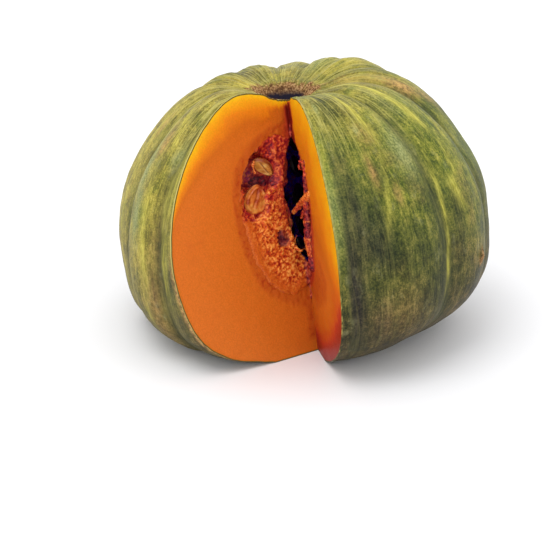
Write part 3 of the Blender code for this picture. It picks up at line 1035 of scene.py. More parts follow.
def ripeness_at(point, depth):
    """0 under the rind to 1 at the hollow. The yellow goes deeper near the top, and on the right."""
    left, right = cut_distances(point)
    near_hollow = 1.0 - smooth_share(hollow_measure(point), 1.0, 1.22)
    if abs(right) < abs(left):
        yellow = 0.90 + 3.00 * smooth_share(point.z, *YELLOW_LEVELS_ON_RIGHT)
        return min(0.05 + depth / (FLESH_DEPTH * yellow), 0.90)
    yellow = 0.05 + 1.00 * smooth_share(point.z, *YELLOW_LEVELS_ON_LEFT)
    # Painted shade: beside the line where the cuts meet, the left cut is painted riper and redder
    near_line = 1.0 - smooth_share(-right, 1 * MM, 20 * MM)
    near_line *= smooth_share(depth, 1.5 * MM, 9 * MM)
    return max(min(depth / (FLESH_DEPTH * yellow), 0.78), 0.92 * near_line, 0.92 * near_hollow)


def redness_at(point, depth):
    """Red painted shade: half beside the line of the cuts, full in its crack, and a painted shadow low
    on the right cut.
    """
    left, right = cut_distances(point)
    mottle = 0.25 * noise.noise(point / (4 * MM))
    if abs(right) < abs(left):
        low = 1.0 - smooth_share(point.z + 0.2 * RADIUS * mottle, *LOW_SHADOW_LEVELS)
        by_rind = 1.0 - smooth_share(depth * (1.0 + mottle), *LOW_SHADOW_DEPTHS)
        at_lip = 1.0 - smooth_share(hollow_measure(point), LIP_ON_RIGHT, LIP_ON_RIGHT + 0.05)
        reach = (point - cut_line_point(point.z)).length * (1.0 + mottle)
        crack = 1.0 - smooth_share(reach, 0.5 * CRACK_REACH, CRACK_REACH)
        crack *= smooth_share(point.z, *CRACK_LEVELS) * smooth_share(depth, 0.5 * MM, 2 * MM)
        return max(0.85 * low * by_rind, 0.55 * at_lip, crack)
    narrow, wide = HALO_WIDTHS
    width = wide + (narrow - wide) * smooth_share(point.z, *HALO_LEVELS)
    halo = 1.0 - smooth_share(-right * (1.0 + mottle), 0.2 * width, width)
    crack = 1.0 - smooth_share(-right * (1.0 + mottle), 0.3 * CRACK_WIDTH, CRACK_WIDTH)
    inside = smooth_share(depth, 1 * MM, 4 * MM) * smooth_share(point.z, *HALO_START_LEVELS)
    return max(0.55 * halo, crack) * inside


def fill_cuts(skin):
    """Grow the cut faces inwards from the rind's edge, and then the wall of the hollow."""
    rind_edge, lip_edge, hollow_edge = (
        skin.verts.layers.float_vector.new(name) for name in ("rind_edge", "lip_edge", "hollow_edge")
    )
    squareness, depth, ripeness, hidden, redness = (
        skin.verts.layers.float.new(name)
        for name in ("squareness", "depth", "ripeness", "hidden", "redness")
    )
    middle = cut_line_point(MIDDLE_LEVEL)
    skin.normal_update()
    edges = [edge for edge in skin.edges if edge.is_boundary]
    for vertex in {vertex for edge in edges for vertex in edge.verts}:
        left, right = cut_distances(vertex.co)
        normal = LEFT_NORMAL if abs(left) < abs(right) else RIGHT_NORMAL
        outward = vertex.normal - normal * vertex.normal.dot(normal)
        vertex[squareness] = abs(outward.normalized().dot((vertex.co - middle).normalized()))
        vertex[rind_edge] = vertex.co
        vertex[lip_edge] = way_out(vertex.co, middle, lip_measure)
        vertex[hollow_edge] = way_out(vertex.co, middle, lambda place: 1.0)

    for step in range(1, FLESH_STEPS + WALL_STEPS):
        grown = bmesh.ops.extrude_edge_only(skin, edges=edges)["geom"]
        edges = [item for item in grown if isinstance(item, bmesh.types.BMEdge) and item.is_boundary]
        in_flesh = step <= FLESH_STEPS
        for face in (item for item in grown if isinstance(item, bmesh.types.BMFace)):
            face.material_index = 1
        for vertex in {vertex for edge in edges for vertex in edge.verts}:
            outer = Vector(vertex[rind_edge])
            inner = Vector(vertex[lip_edge])
            if in_flesh:
                share = (1.0 - math.cos(math.pi * step / FLESH_STEPS)) / 2.0
                vertex.co = outer.lerp(inner, share)
                vertex[depth] = (vertex.co - outer).length * vertex[squareness]
                vertex[ripeness] = ripeness_at(vertex.co, vertex[depth])
                vertex[redness] = redness_at(vertex.co, vertex[depth])
                vertex.co += cut_roughness(vertex.co, share)
            else:
                start = Vector(vertex[hollow_edge])
                vertex.co = hollow_wall_point(start, (step - FLESH_STEPS) / WALL_STEPS)
                vertex[depth] = FLESH_DEPTH
                vertex[ripeness] = 1.0
                vertex[redness] = 0.7
                # Painted shade on the hollow's wall deep behind the cuts, except where the left cut
                # bared it
                behind = smooth_share(distance_from_wedge(vertex.co), 8 * MM, 16 * MM)
                vertex[hidden] = behind * (1.0 - bared_share(vertex.co))
    last = list({vertex for edge in edges for vertex in edge.verts})
    bmesh.ops.pointmerge(skin, verts=last, merge_co=hollow_wall_point(middle, 1.0))
    for layer in (rind_edge, lip_edge, hollow_edge):
        skin.verts.layers.float_vector.remove(layer)


# ---------------------------------------------------------------- paint on the rind

# Heights over RADIUS between which each of these comes or goes on the rind
SHADED_FOOT = (-0.50, 0.42)
LIT_TOP = (0.55, 0.80)
VEINED_TOP = (0.45, 0.85)
PALE_STRIP_FOOT = (-0.05, 0.35)
PALE_STRIP_TOP = (0.35, 0.60)
CLEAN_STRIP_FOOT = (-0.25, 0.15)  # of the strip beside the left cut that is less dusky
CUT_EDGE_FOOT = (-0.10, 0.20)


def all_streaks():
    """The named streaks, and fainter ones scattered all around."""
    chooser = random.Random(STREAK_RANDOM_START)
    streaks = list(LIME_STREAKS)
    for _ in range(RANDOM_STREAKS):
        bearing = chooser.uniform(0.0, 360.0)
        top = chooser.uniform(-0.1, 0.85)
        low = top - chooser.uniform(0.2, 0.7)
        width = chooser.uniform(0.4, 1.4)
        strength = chooser.uniform(0.10, 0.45)
        low_bearing = bearing + chooser.uniform(-3.0, 3.0)
        if not STREAK_FREE_FRONT[0] < angle_between(bearing, 0.0) < STREAK_FREE_FRONT[1]:
            streaks.append((bearing, low_bearing, top, low, width, strength))
    return streaks


def streak_share(bearing, height, streaks):
    """How much lime colour all the streaks together give one place."""
    total = 0.0
    for top_bearing, low_bearing, top, low, width, strength in streaks:
        share = (top - height) / (top - low)
        if -0.2 < share < 1.2:
            off = angle_between(bearing, top_bearing + (low_bearing - top_bearing) * share)
            if abs(off) < 3.0 * width:
                ends = smooth_share(share, -0.2, 0.15) * (1.0 - smooth_share(share, 0.7, 1.2))
                total += strength * ends * hump(off, 0.0, width)
    return min(total, 1.0)


def patch_share(bearing, height, patches):
    """How much of one tint its patches give one place."""
    total = 0.0
    for middle, level, width, rise, strength in patches:
        off = angle_between(bearing, middle)
        total += strength * hump(off, 0.0, width) * hump(height, level, rise)
    return min(total, 1.0)


def paint_rind(skin):
    """Store on every point how much of each finish shows there."""
    layers = {}
    for name in RIND_PAINT:
        layers[name] = skin.verts.layers.float.get(name) or skin.verts.layers.float.new(name)
    streaks = all_streaks()
    from_stem = skin.verts.layers.float.get("from_stem")
    for vertex in skin.verts:
        point = vertex.co
        left, right = cut_distances(point)
        bearing = math.degrees(math.atan2(point.x, -point.y))
        height = point.z / RADIUS
        # Painted light: the rind is painted lighter and tanner on the side the key light falls on, and
        # on top
        sunny = hump(angle_between(bearing, LIT_SIDE_BEARING), 0.0, LIT_SIDE_WIDTH)
        low = 1.0 - smooth_share(height, *SHADED_FOOT)
        edge_foot = smooth_share(height, *CUT_EDGE_FOOT)
        vertex[layers["sunny"]] = min(1.0, sunny + 0.65 * smooth_share(height, *LIT_TOP))
        vertex[layers["veined"]] = 0.08 + 0.80 * smooth_share(height, *VEINED_TOP)
        # Painted shade: the rind is painted darker low down, a little less on the lit side
        vertex[layers["dusk"]] = low * (0.95 - 0.25 * sunny)
        vertex[layers["lime"]] = streak_share(bearing, height, streaks)
        vertex[layers["cork"]] = max(cork_share(point, vertex[from_stem]), nick_share(point))
        edge = 1.0 - smooth_share(distance_from_wedge(point), 0.5 * MM, 1.6 * MM)
        vertex[layers["cut_edge"]] = edge * (0.35 * edge_foot if right > 0.0 else 1.0)
        for tint, patches in PATCHES.items():
            patchy = patch_share(bearing, height, patches)
            vertex[layers[tint]] = max(vertex[layers[tint]], patchy)
        beside = 0.0
        if right > 0.0 and point.y < 0.0:
            beside = hump(right, PALE_STRIP_MIDDLE, PALE_STRIP_WIDTH)
        for tint in ("deep", "dim", "groove"):
            vertex[layers[tint]] *= 1.0 - beside
        pale = beside * smooth_share(height, *PALE_STRIP_FOOT)
        pale *= 1.0 - smooth_share(height, *PALE_STRIP_TOP)
        vertex[layers["bloom"]] = max(vertex[layers["bloom"]], 0.40 * pale)
        if left < 0.0 and point.y < 0.0:
            strip = 1.0 - smooth_share(-left, 5 * MM, 12 * MM)
            strip *= smooth_share(height, *CLEAN_STRIP_FOOT)
            vertex[layers["dusk"]] *= 1.0 - 0.8 * strip
            brown = (1.0 - smooth_share(-left, 1.5 * MM, 4.0 * MM)) * (1.0 - edge_foot)
            vertex[layers["cut_edge"]] *= edge_foot
            vertex[layers["blush"]] = max(vertex[layers["blush"]], brown)


def make_fruit(rind, flesh):
    """Rind, cut faces and hollow wall as one closed piece."""
    skin = build_skin()
    open_wedge(skin)
    paint_rind(skin)
    fill_cuts(skin)
    bmesh.ops.recalc_face_normals(skin, faces=skin.faces)
    fruit = add_piece("squash_rind_and_flesh", skin, (rind, flesh))
    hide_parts("squash_fruit")


# ---------------------------------------------------------------- pulp

PULP_GRAIN = 1.02 * MM  # size of the remeshed pulp's faces: it stays under 200,000 triangles
PULP_GROWTH = 0.5 * MM  # closes the thin gap that the solids keep between pulp and flesh
STRAND_SPACING = 2.6 * MM
STRAND_SWAY = 2.4 * MM
STRAND_RANDOM_START = 19
PIT_BETWEEN_STRANDS = 0.7 * MM
UNDER_LIP = 1.0 * MM  # how far the pulp keeps below the flesh's lip

# Hollows torn into the pulp, seen on a cut: its bearing, how far the middle is from the line
# where the cuts meet, its height and its depth, then half its reach, height and depth, over RADIUS
TORN_HOLLOWS = (
    (RIGHT_CUT_BEARING, 0.150, 0.44, 0.15, 0.150, 0.245, 0.14),
    (LEFT_CUT_BEARING, 0.21, 0.37, 0.00, 0.110, 0.110, 0.050),
    (LEFT_CUT_BEARING, 0.165, 0.47, 0.00, 0.045, 0.055, 0.030),
    (LEFT_CUT_BEARING, 0.285, 0.215, 0.00, 0.085, 0.090, 0.045),
    (LEFT_CUT_BEARING, 0.125, 0.01, 0.00, 0.042, 0.052, 0.060),
)
# Lumps of pulp that stayed at the mouth of the hollow, given in the same way
PULP_LUMPS = (
    (LEFT_CUT_BEARING, 0.090, 0.42, 0.055, 0.065, 0.17, 0.048),
    (LEFT_CUT_BEARING, 0.105, 0.10, 0.055, 0.062, 0.15, 0.048),
)
# Maroon places on the left cut, the pulp's red deepened by painted shade: the pocket round the
# seeds and the recess above them, and a painted shadow under the fuller seed. Reach, height, half
# reach and half height over RADIUS
MAROON_PLACES = (
    (0.215, 0.36, 0.155, 0.13),
    (0.165, 0.50, 0.06, 0.08),
    (0.28, 0.185, 0.09, 0.035),
    (0.18, 0.24, 0.05, 0.03),
)
# Places on the left cut painted as dark as the hollow's depths, a painted shade under the upper
# seed and in the low torn hollow, given in the same way
SHADED_PLACES = (
    (0.20, 0.31, 0.07, 0.030),
    (0.125, 0.01, 0.045, 0.055),
)
# Painted shade on the pulp, deeper behind the cuts
HOLLOW_SHADE_START = 1 * MM  # how far behind the cuts the pulp starts to darken, and is darkest
HOLLOW_SHADE_FULL = 10 * MM
MARKED_DEPTH = 14 * MM  # the places on the left cut are marked this far behind it
BARED_REACH = (0.12 * RADIUS, 0.17 * RADIUS)  # how far from the line of the cuts the void ends
# Beside the line where the cuts meet, the pulp's redder colour is painted shade in that corner
BY_LINE_REACH = (0.08 * RADIUS, 0.18 * RADIUS)  # beside that line the pulp is redder and smoother
BY_LINE_LEVELS = (0.0, 0.2 * RADIUS)
FIRM_LEVELS = (0.26 * RADIUS, 0.38 * RADIUS)  # above these the pulp on the left cut is firm


def merged_copy(node):
    """A node's mesh as a bmesh with its loose triangles joined."""
    copy = bmesh.new()
    copy.from_mesh(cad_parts[node].data)
    bmesh.ops.remove_doubles(copy, verts=copy.verts, dist=JOIN_DISTANCE)
    return copy


def carved_and_remeshed(mesh_builder, hollows, lumps, grain):
    """A closed shape less some hollows and with some lumps, with an even grain of faces."""
    carrier = add_object("carved", mesh_from("carved", mesh_builder))
    cutters = [add_object("cutter", mesh_from("cutter", shape)) for shape in (*hollows, *lumps)]
    for number, cutter in enumerate(cutters):
        modifier = carrier.modifiers.new("carve", "BOOLEAN")
        modifier.operation = "DIFFERENCE" if number < len(hollows) else "UNION"
        modifier.solver = "EXACT"
        modifier.object = cutter
    modifier = carrier.modifiers.new("even_grain", "REMESH")
    modifier.mode = "VOXEL"
    modifier.voxel_size = grain
    evaluated = carrier.evaluated_get(bpy.context.evaluated_depsgraph_get())
    even = bmesh.new()
    even.from_mesh(evaluated.data)
    for spent in (carrier, *cutters):
        mesh = spent.data
        bpy.data.objects.remove(spent, do_unlink=True)
        bpy.data.meshes.remove(mesh)
    return even


def ragged_egg(bearing, reach, height, depth, half_reach, half_height, half_depth):
    """A ragged closed egg whose flat way lies along a cut, to carve from the pulp or to add to it."""
    into = behind_cut(bearing)
    middle = cut_place(bearing, into, reach * RADIUS, height * RADIUS, depth * RADIUS)
    egg = bmesh.new()
    bmesh.ops.create_uvsphere(egg, u_segments=40, v_segments=24, radius=1.0)
    for vertex in egg.verts:
        vertex.co *= 1.0 + 0.22 * noise.noise(vertex.co * 2.3 + middle / (9 * MM))
    sizes = Vector((half_reach, half_depth, half_height)) * RADIUS
    along = direction(bearing)
    axes = Matrix((along, into, along.cross(into))).transposed().to_4x4()
    egg.transform(FRUIT @ Matrix.Translation(middle) @ axes @ Matrix.Diagonal((*sizes, 1.0)))
    return egg


def strand_share(point):
    """1 on a strand of the pulp, and 0 between strands: the strands wander every way."""
    sway = noise.noise_vector(point / (4.5 * MM)) * STRAND_SWAY
    first = abs(noise.noise((point + sway) / STRAND_SPACING))
    second = abs(noise.noise((point - sway) / (0.6 * STRAND_SPACING) + Vector((5.0, 1.0, 9.0))))
    return 1.0 - smooth_share(min(first, 1.3 * second), 0.02, 0.22)


def marked_share(point, places):
    """How far a point is within places on the left cut, from 0 to 1."""
    if cut_distances(point)[0] < -MARKED_DEPTH:
        return 0.0
    flat = point - cut_line_point(point.z)
    reach = flat.dot(direction(LEFT_CUT_BEARING)) / RADIUS
    ragged = 0.25 * noise.noise(point / (4 * MM))
    total = 0.0
    for middle, height, half_reach, half_height in places:
        off = math.hypot((reach - middle) / half_reach, (point.z / RADIUS - height) / half_height)
        total = max(total, 1.0 - smooth_share(off + ragged, 0.65, 1.25))
    return total


def bared_share(point):
    """1 in the places beside the void that the left cut bared, and 0 in the void itself, which painted
    shade darkens.
    """
    left, right = cut_distances(point)
    if right > 0.0:
        return 0.0
    reach = (point - cut_line_point(point.z)).dot(direction(LEFT_CUT_BEARING))
    near_cut = 1.0 - smooth_share(-left, 12 * MM, 18 * MM)
    return near_cut * smooth_share(reach, *BARED_REACH)


def under_lip(point):
    """How far a place on a cut is under the flesh's lip, from 0 to 1."""
    near_cut = 1.0 - smooth_share(distance_from_wedge(point), 2 * MM, 5 * MM)
    return near_cut * smooth_share(hollow_measure(point) - lip_measure(point), -0.03, 0.02)


def firm_share(point, maroon):
    """How much the pulp on the left cut is still firm flesh: beside the lip, and high up."""
    on_left = 1.0 - smooth_share(-cut_distances(point)[0], 2 * MM, 5 * MM)
    beside_lip = smooth_share(hollow_measure(point) - lip_measure(point), -0.16, -0.02)
    high = smooth_share(point.z, *FIRM_LEVELS)
    return on_left * max(beside_lip, high) * (1.0 - maroon)


def make_pulp(material):
    """The pulp that lines the hollow, torn open and into strands where it was cut."""
    hollows = [ragged_egg(*sizes) for sizes in TORN_HOLLOWS]
    lumps = [ragged_egg(*sizes) for sizes in PULP_LUMPS]
    pulp = carved_and_remeshed(merged_copy("seed_pulp"), hollows, lumps, PULP_GRAIN)
    to_fruit = FRUIT.inverted()
    layers = {}
    for name in ("strand", "pocket", "dark", "hidden", "firm"):
        layers[name] = pulp.verts.layers.float.new(name)
    heights = []
    for vertex in pulp.verts:
        point = to_fruit @ vertex.co
        strand = strand_share(point)
        maroon = marked_share(point, MAROON_PLACES)
        behind = distance_from_wedge(point)
        left, right = cut_distances(point)
        on_right = 1.0 - smooth_share(abs(right), 2 * MM, 6 * MM) if left > 0.0 else 0.0
        reach = (point - cut_line_point(point.z)).length
        by_line = 1.0 - smooth_share(reach, *BY_LINE_REACH)
        by_line *= smooth_share(point.z, *BY_LINE_LEVELS)
        bared = bared_share(point)
        # Painted shade: bared pulp that lies deeper behind the left cut turns maroon
        deep = bared * smooth_share(behind, 1.5 * MM, 4 * MM)
        # Maroon: the pulp's own red, with painted shade in the pocket, the right lining and the corner
        maroon = max(maroon, 0.75 * on_right, 0.95 * by_line, deep)
        firm = firm_share(point, maroon)
        rough = 1.0 - 0.7 * max(firm, by_line)
        height = PULP_GROWTH - PIT_BETWEEN_STRANDS * (1.0 - strand) * rough
        height += 0.7 * MM * noise.noise(point / (7 * MM)) * rough
        height += 0.3 * MM * noise.noise(point / (2 * MM)) * rough
        height -= UNDER_LIP * under_lip(point)
        vertex[layers["strand"]] = strand
        vertex[layers["pocket"]] = maroon
        # Painted shade deeper behind the cuts, less where the pulp is bared, maroon or dark
        shade = smooth_share(behind, HOLLOW_SHADE_START, HOLLOW_SHADE_FULL) * (1.0 - bared)
        dark = marked_share(point, SHADED_PLACES) * smooth_share(behind, 0.6 * MM, 2.0 * MM)
        # Painted shade: these places, and the throat of the right cut
        dark = max(0.9 * dark, 0.5 * on_right)
        vertex[layers["hidden"]] = shade * (1.0 - 0.8 * max(maroon, by_line)) * (1.0 - dark)
        vertex[layers["dark"]] = dark
        vertex[layers["firm"]] = firm
        heights.append(height)
    push_out(pulp, heights)
    piece = add_piece("seed_pulp_strands", pulp, (material,), Matrix.Identity(4), sharp_angle=180)
    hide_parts("seed_pulp")


# ---------------------------------------------------------------- torn shreds of pulp

SHRED_GRAIN = 0.45 * MM

# Shreds that hang at the mouth of the hollow: the cut they are at, points (reach from the line
# where the cuts meet, height, depth behind the cut, over RADIUS), half width in mm at the first
# and at the last, and how maroon each is, that maroon partly painted shade: above 1 it goes on
# into the dark painted shade of the hollow
SHREDS = (
    (
        RIGHT_CUT_BEARING,
        ((0.26, 0.28, 0.013), (0.205, 0.245, 0.004), (0.140, 0.21, -0.010), (0.0, 0.115, -0.04)),
        (2.8, 1.4),
        0.1,
    ),
    (
        RIGHT_CUT_BEARING,
        ((0.19, 0.20, 0.004), (0.13, 0.155, -0.006), (0.06, 0.10, -0.012)),
        (1.8, 1.0),
        0.9,
    ),
    (
        RIGHT_CUT_BEARING,
        (
            (0.245, 0.44, 0.006),
            (0.20, 0.30, 0.006),
            (0.165, 0.17, 0.002),
            (0.14, 0.06, 0.0),
            (0.13, -0.14, 0.004),
        ),
        (1.5, 3.2),
        1.7,
    ),
    (
        RIGHT_CUT_BEARING,
        ((0.13, 0.07, 0.006), (0.11, 0.01, 0.0), (0.11, -0.05, 0.0)),
        (2.0, 2.8),
        0.45,
    ),
    (
        RIGHT_CUT_BEARING,
        ((0.236, 0.421, 0.017), (0.169, 0.425, -0.008), (0.138, 0.375, -0.01), (0.175, 0.385, 0.006)),
        (0.8, 0.6),
        1.0,
    ),
    (
        LEFT_CUT_BEARING,
        ((0.088, -0.027, -0.008), (0.07, -0.058, -0.014), (0.05, -0.08, -0.03)),
        (1.3, 1.0),
        0.0,
    ),
    (
        LEFT_CUT_BEARING,
        ((0.185, 0.26, 0.010), (0.158, 0.268, 0.005), (0.127, 0.257, 0.010)),
        (1.9, 1.3),
        0.1,
    ),
    (
        LEFT_CUT_BEARING,
        ((0.20, 0.222, 0.010), (0.174, 0.206, 0.004), (0.142, 0.204, 0.010)),
        (1.7, 1.5),
        0.1,
    ),
    (
        LEFT_CUT_BEARING,
        ((0.247, 0.447, 0.012), (0.26, 0.424, 0.012), (0.25, 0.38, 0.012)),
        (0.8, 0.7),
        0.2,
    ),
    (
        LEFT_CUT_BEARING,
        ((0.093, 0.222, 0.011), (0.12, 0.214, 0.012), (0.176, 0.15, 0.012)),
        (0.9, 1.2),
        0.5,
    ),
    (
        LEFT_CUT_BEARING,
        ((0.082, 0.166, 0.012), (0.108, 0.131, 0.012), (0.127, 0.094, 0.012)),
        (1.0, 1.2),
        0.2,
    ),
)


def behind_cut(bearing):
    """The unit vector that points from a cut into the fruit."""
    return -LEFT_NORMAL if bearing == LEFT_CUT_BEARING else RIGHT_NORMAL


def make_shreds(material):
    """Torn lumps and tongues of pulp, each grown from a row of balls."""
    balls = bmesh.new()
    marked = []
    for bearing, places, (first, last), maroon in SHREDS:
        into = behind_cut(bearing)
        points = [cut_place(bearing, into, *(value * RADIUS for value in place)) for place in places]
        marked += [(point, maroon) for point in points]
        steps = [(second - point).length for point, second in zip(points, points[1:])]
        gone = 0.0
        while gone <= sum(steps):
            left, leg = gone, 0
            while leg < len(steps) - 1 and left > steps[leg]:
                left -= steps[leg]
                leg += 1
            middle = points[leg].lerp(points[leg + 1], min(left / steps[leg], 1.0))
            half_width = (first + (last - first) * gone / sum(steps)) * MM
            half_width *= 1.0 + 0.35 * noise.noise(middle / (3 * MM))
            place = Matrix.Translation(FRUIT @ middle)
            bmesh.ops.create_icosphere(balls, subdivisions=2, radius=half_width, matrix=place)
            gone += 0.5 * half_width
    grown = carved_and_remeshed(balls, (), (), SHRED_GRAIN)
    to_fruit = FRUIT.inverted()
    layers = {}
    for name in ("strand", "pocket", "dark"):
        layers[name] = grown.verts.layers.float.new(name)
    heights = []
    for vertex in grown.verts:
        point = to_fruit @ vertex.co
        _, maroon = min(((point - place).length, share) for place, share in marked)
        strand = strand_share(point)
        vertex[layers["strand"]] = strand
        # Painted shade: maroon beyond 1 turns into the dark of the hollow
        vertex[layers["pocket"]] = min(maroon, 1.0)
        vertex[layers["dark"]] = max(maroon - 1.0, 0.0)
        heights.append(0.5 * MM * noise.noise(point / (2.2 * MM)) - 0.3 * MM * (1.0 - strand))
    push_out(grown, heights)
    piece = add_piece("torn_pulp_shreds", grown, (material,), Matrix.Identity(4), sharp_angle=180)


# ---------------------------------------------------------------- loose strings

STRING_RANDOM_START = 23
STRING_POINTS = 6
STRINGS_ON_LEFT_CUT = 16
STRINGS_IN_HOLLOW = 12

# Least and greatest length and half width in mm, and how much a string turns at each point
CUT_STRING_LENGTHS = (4, 9)
CUT_STRING_HALF_WIDTHS = (0.25, 0.45)
CUT_STRING_WANDER = 0.75
HOLLOW_STRING_LENGTHS = (6, 16)
HOLLOW_STRING_HALF_WIDTHS = (0.4, 0.8)
HOLLOW_STRING_WANDER = 0.7

# Where strings start on the left cut, over RADIUS
CUT_STRING_REACHES = (0.03, 0.42)
CUT_STRING_HEIGHTS = (-0.34, 0.30)


def cut_place(bearing, into, reach, height, depth):
    """A place on a cut: reach away from the line where the cuts meet, and depth behind the cut."""
    return cut_line_point(height) + direction(bearing) * reach + into * depth


def wandering_string(start, heading, length, wander, chooser):
    """Points of a limp string that sets off along heading."""
    points = [start]
    step = length / (STRING_POINTS - 1)
    for _ in range(STRING_POINTS - 1):
        sideways = Vector([chooser.uniform(-1.0, 1.0) for _ in range(3)])
        heading = (heading + sideways * wander).normalized()
        points.append(points[-1] + heading * step)
    return points


def all_strings():
    """Every string as its points and its half width."""
    chooser = random.Random(STRING_RANDOM_START)
    strings = []
    while len(strings) < STRINGS_ON_LEFT_CUT:
        reach = chooser.uniform(*CUT_STRING_REACHES) * RADIUS
        height = chooser.uniform(*CUT_STRING_HEIGHTS) * RADIUS
        start = cut_place(LEFT_CUT_BEARING, -LEFT_NORMAL, reach, height, 0.2 * MM)
        heading = direction(LEFT_CUT_BEARING) * chooser.uniform(-1.0, 1.0)
        heading += Vector((0.0, 0.0, chooser.uniform(-1.0, 0.6)))
        heading.normalize()
        length = chooser.uniform(*CUT_STRING_LENGTHS) * MM
        points = wandering_string(start, heading, length, CUT_STRING_WANDER, chooser)
        flat = [point - LEFT_NORMAL * (cut_distances(point)[0] + 0.1 * MM) for point in points]
        if max(hollow_measure(point) - lip_measure(point) for point in flat) < -0.03:
            strings.append((flat, chooser.uniform(*CUT_STRING_HALF_WIDTHS) * MM))
    while len(strings) < STRINGS_ON_LEFT_CUT + STRINGS_IN_HOLLOW:
        rise = chooser.uniform(-1.2, 1.2)
        turn = chooser.uniform(0.0, math.tau)
        unit = direction(turn) * math.cos(rise) + Vector((0.0, 0.0, math.sin(rise)))
        start = SPACE_CENTRE + Vector(a * b for a, b in zip(unit, SPACE_RADII)) * 1.02
        if distance_from_wedge(start) > 4 * MM:
            heading = (Vector((0.0, 0.0, -0.5)) - unit).normalized()
            length = chooser.uniform(*HOLLOW_STRING_LENGTHS) * MM
            points = wandering_string(start, heading, length, HOLLOW_STRING_WANDER, chooser)
            strings.append((points, chooser.uniform(*HOLLOW_STRING_HALF_WIDTHS) * MM))
    return strings


def make_strings(material):
    """All the loose strings as one piece of thin closed tubes."""
    curve = bpy.data.curves.new("pulp_strings", "CURVE")
    curve.dimensions = "3D"
    curve.bevel_depth = 1.0
    curve.bevel_resolution = 1
    curve.use_fill_caps = True
    for points, half_width in all_strings():
        spline = curve.splines.new("NURBS")
        spline.points.add(len(points) - 1)
        spline.order_u = 3
        spline.use_endpoint_u = True
        spline.resolution_u = 2
        for index, (bend, point) in enumerate(zip(spline.points, points)):
            bend.co = (*point, 1.0)
            bend.radius = half_width * (1.0 - 0.55 * index / (len(points) - 1))
    carrier = add_object("pulp_strings_curve", curve)
    evaluated = carrier.evaluated_get(bpy.context.evaluated_depsgraph_get())
    tubes = bmesh.new()
    tubes.from_mesh(evaluated.to_mesh())
    evaluated.to_mesh_clear()
    bpy.data.objects.remove(carrier, do_unlink=True)
    bmesh.ops.remove_doubles(tubes, verts=tubes.verts, dist=JOIN_DISTANCE)
    bmesh.ops.recalc_face_normals(tubes, faces=tubes.faces)
    hidden = tubes.verts.layers.float.new("hidden")
    for vertex in tubes.verts:
        # Painted shade on the strings deeper behind the cuts
        vertex[hidden] = smooth_share(distance_from_wedge(vertex.co), HOLLOW_SHADE_START, HOLLOW_SHADE_FULL)
    piece = add_piece("loose_pulp_strings", tubes, (material,))


# ---------------------------------------------------------------- seeds

SEED_LENGTH = 16.5 * MM
SEED_WIDTH = 10.2 * MM
SEED_THICKNESS = 3.4 * MM
SEED_TAPER = 0.34
SEED_RIM = 0.86  # where the swollen rim is, as a share of the way out from the middle
SEED_RIM_WIDTH = 0.11
SEED_KERNEL_HEIGHT = 0.85  # over half the thickness
SEED_RIM_HEIGHT = 0.42
SEED_SHARP_ANGLE = 80
# Painted shade on the seeds, deeper behind the cuts
SEED_SHADE_START = 3 * MM  # how far behind the cuts a seed starts to darken
SEED_JUICINESS = 0.94  # how much the pulp's juice colours the fuller seed

# The second seed is fuller than the rest: its length, width and thickness over theirs
SEED_FULLNESS = {"seed_02": (1.08, 1.50, 1.70)}
SEED_SHIFTS = {"seed_02": Vector((0.0, 0.0, -2.0 * MM))}  # and it has sunk a little


def seed_axes(node):
    """A solid seed's middle and its axes: along it towards the tip, across it, and through it."""
    solid = merged_copy(node)
    points = np.array([vertex.co for vertex in solid.verts])
    solid.free()
    middle = points.mean(axis=0)
    _, _, axes = np.linalg.svd(points - middle, full_matrices=False)
    along, across = (Vector(axis) for axis in axes[:2])
    reach = (points - middle) @ axes[0]
    width = np.abs((points - middle) @ axes[1])
    if width[reach > 0].max() > width[reach < 0].max():
        along = -along
    low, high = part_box(node)
    placement = Matrix((along, across, along.cross(across))).transposed().to_4x4()
    placement.translation = (low + high) / 2.0 + SEED_SHIFTS.get(node, Vector())
    return placement @ Matrix.Diagonal((*SEED_FULLNESS.get(node, (1.0, 1.0, 1.0)), 1.0))


def build_seed():
    """A flat pointed seed along X with a plump kernel, a groove around it and a swollen rim."""
    seed = bmesh.new()
    bmesh.ops.create_uvsphere(seed, u_segments=40, v_segments=28, radius=1.0)
    rim = seed.verts.layers.float.new("rim")
    seam = seed.verts.layers.float.new("seam")
    for vertex in seed.verts:
        out = min(vertex.co.xy.length, 1.0)
        side = 1.0 if vertex.co.z > 0.0 else -1.0
        kernel = SEED_KERNEL_HEIGHT * (1.0 - out ** 2.4) ** 0.5
        swollen = SEED_RIM_HEIGHT * hump(out, SEED_RIM, SEED_RIM_WIDTH)
        swollen *= 1.0 - smooth_share(out, 0.93, 1.0)
        along, across = vertex.co.xy
        narrow = 1.0 - SEED_TAPER * smooth_share(along, -0.2, 1.0)
        bend = 0.12 * math.sin(2.5 * along)
        # A raised slit with a painted highlight along it, and beside it a crack painted dark as shade
        slit = hump(across, bend, 0.07) * smooth_share(along, -0.05, 0.15)
        slit *= 1.0 - smooth_share(along, 0.45, 0.70)
        crack = hump(across, bend - 0.13, 0.08) * (1.0 - smooth_share(abs(along), 0.55, 0.85))
        vertex[rim] = max(hump(out, 0.95, 0.10), crack)
        vertex[seam] = slit
        kernel += 0.16 * slit - 0.22 * crack
        thick = side * (kernel + swollen) * SEED_THICKNESS / 2.0 * smooth_share(1.0 - out, -0.02, 0.10)
        vertex.co = (along * SEED_LENGTH / 2.0, across * narrow * SEED_WIDTH / 2.0, thick)
    bmesh.ops.remove_doubles(seed, verts=seed.verts, dist=JOIN_DISTANCE)
    bmesh.ops.recalc_face_normals(seed, faces=seed.faces)
    return seed


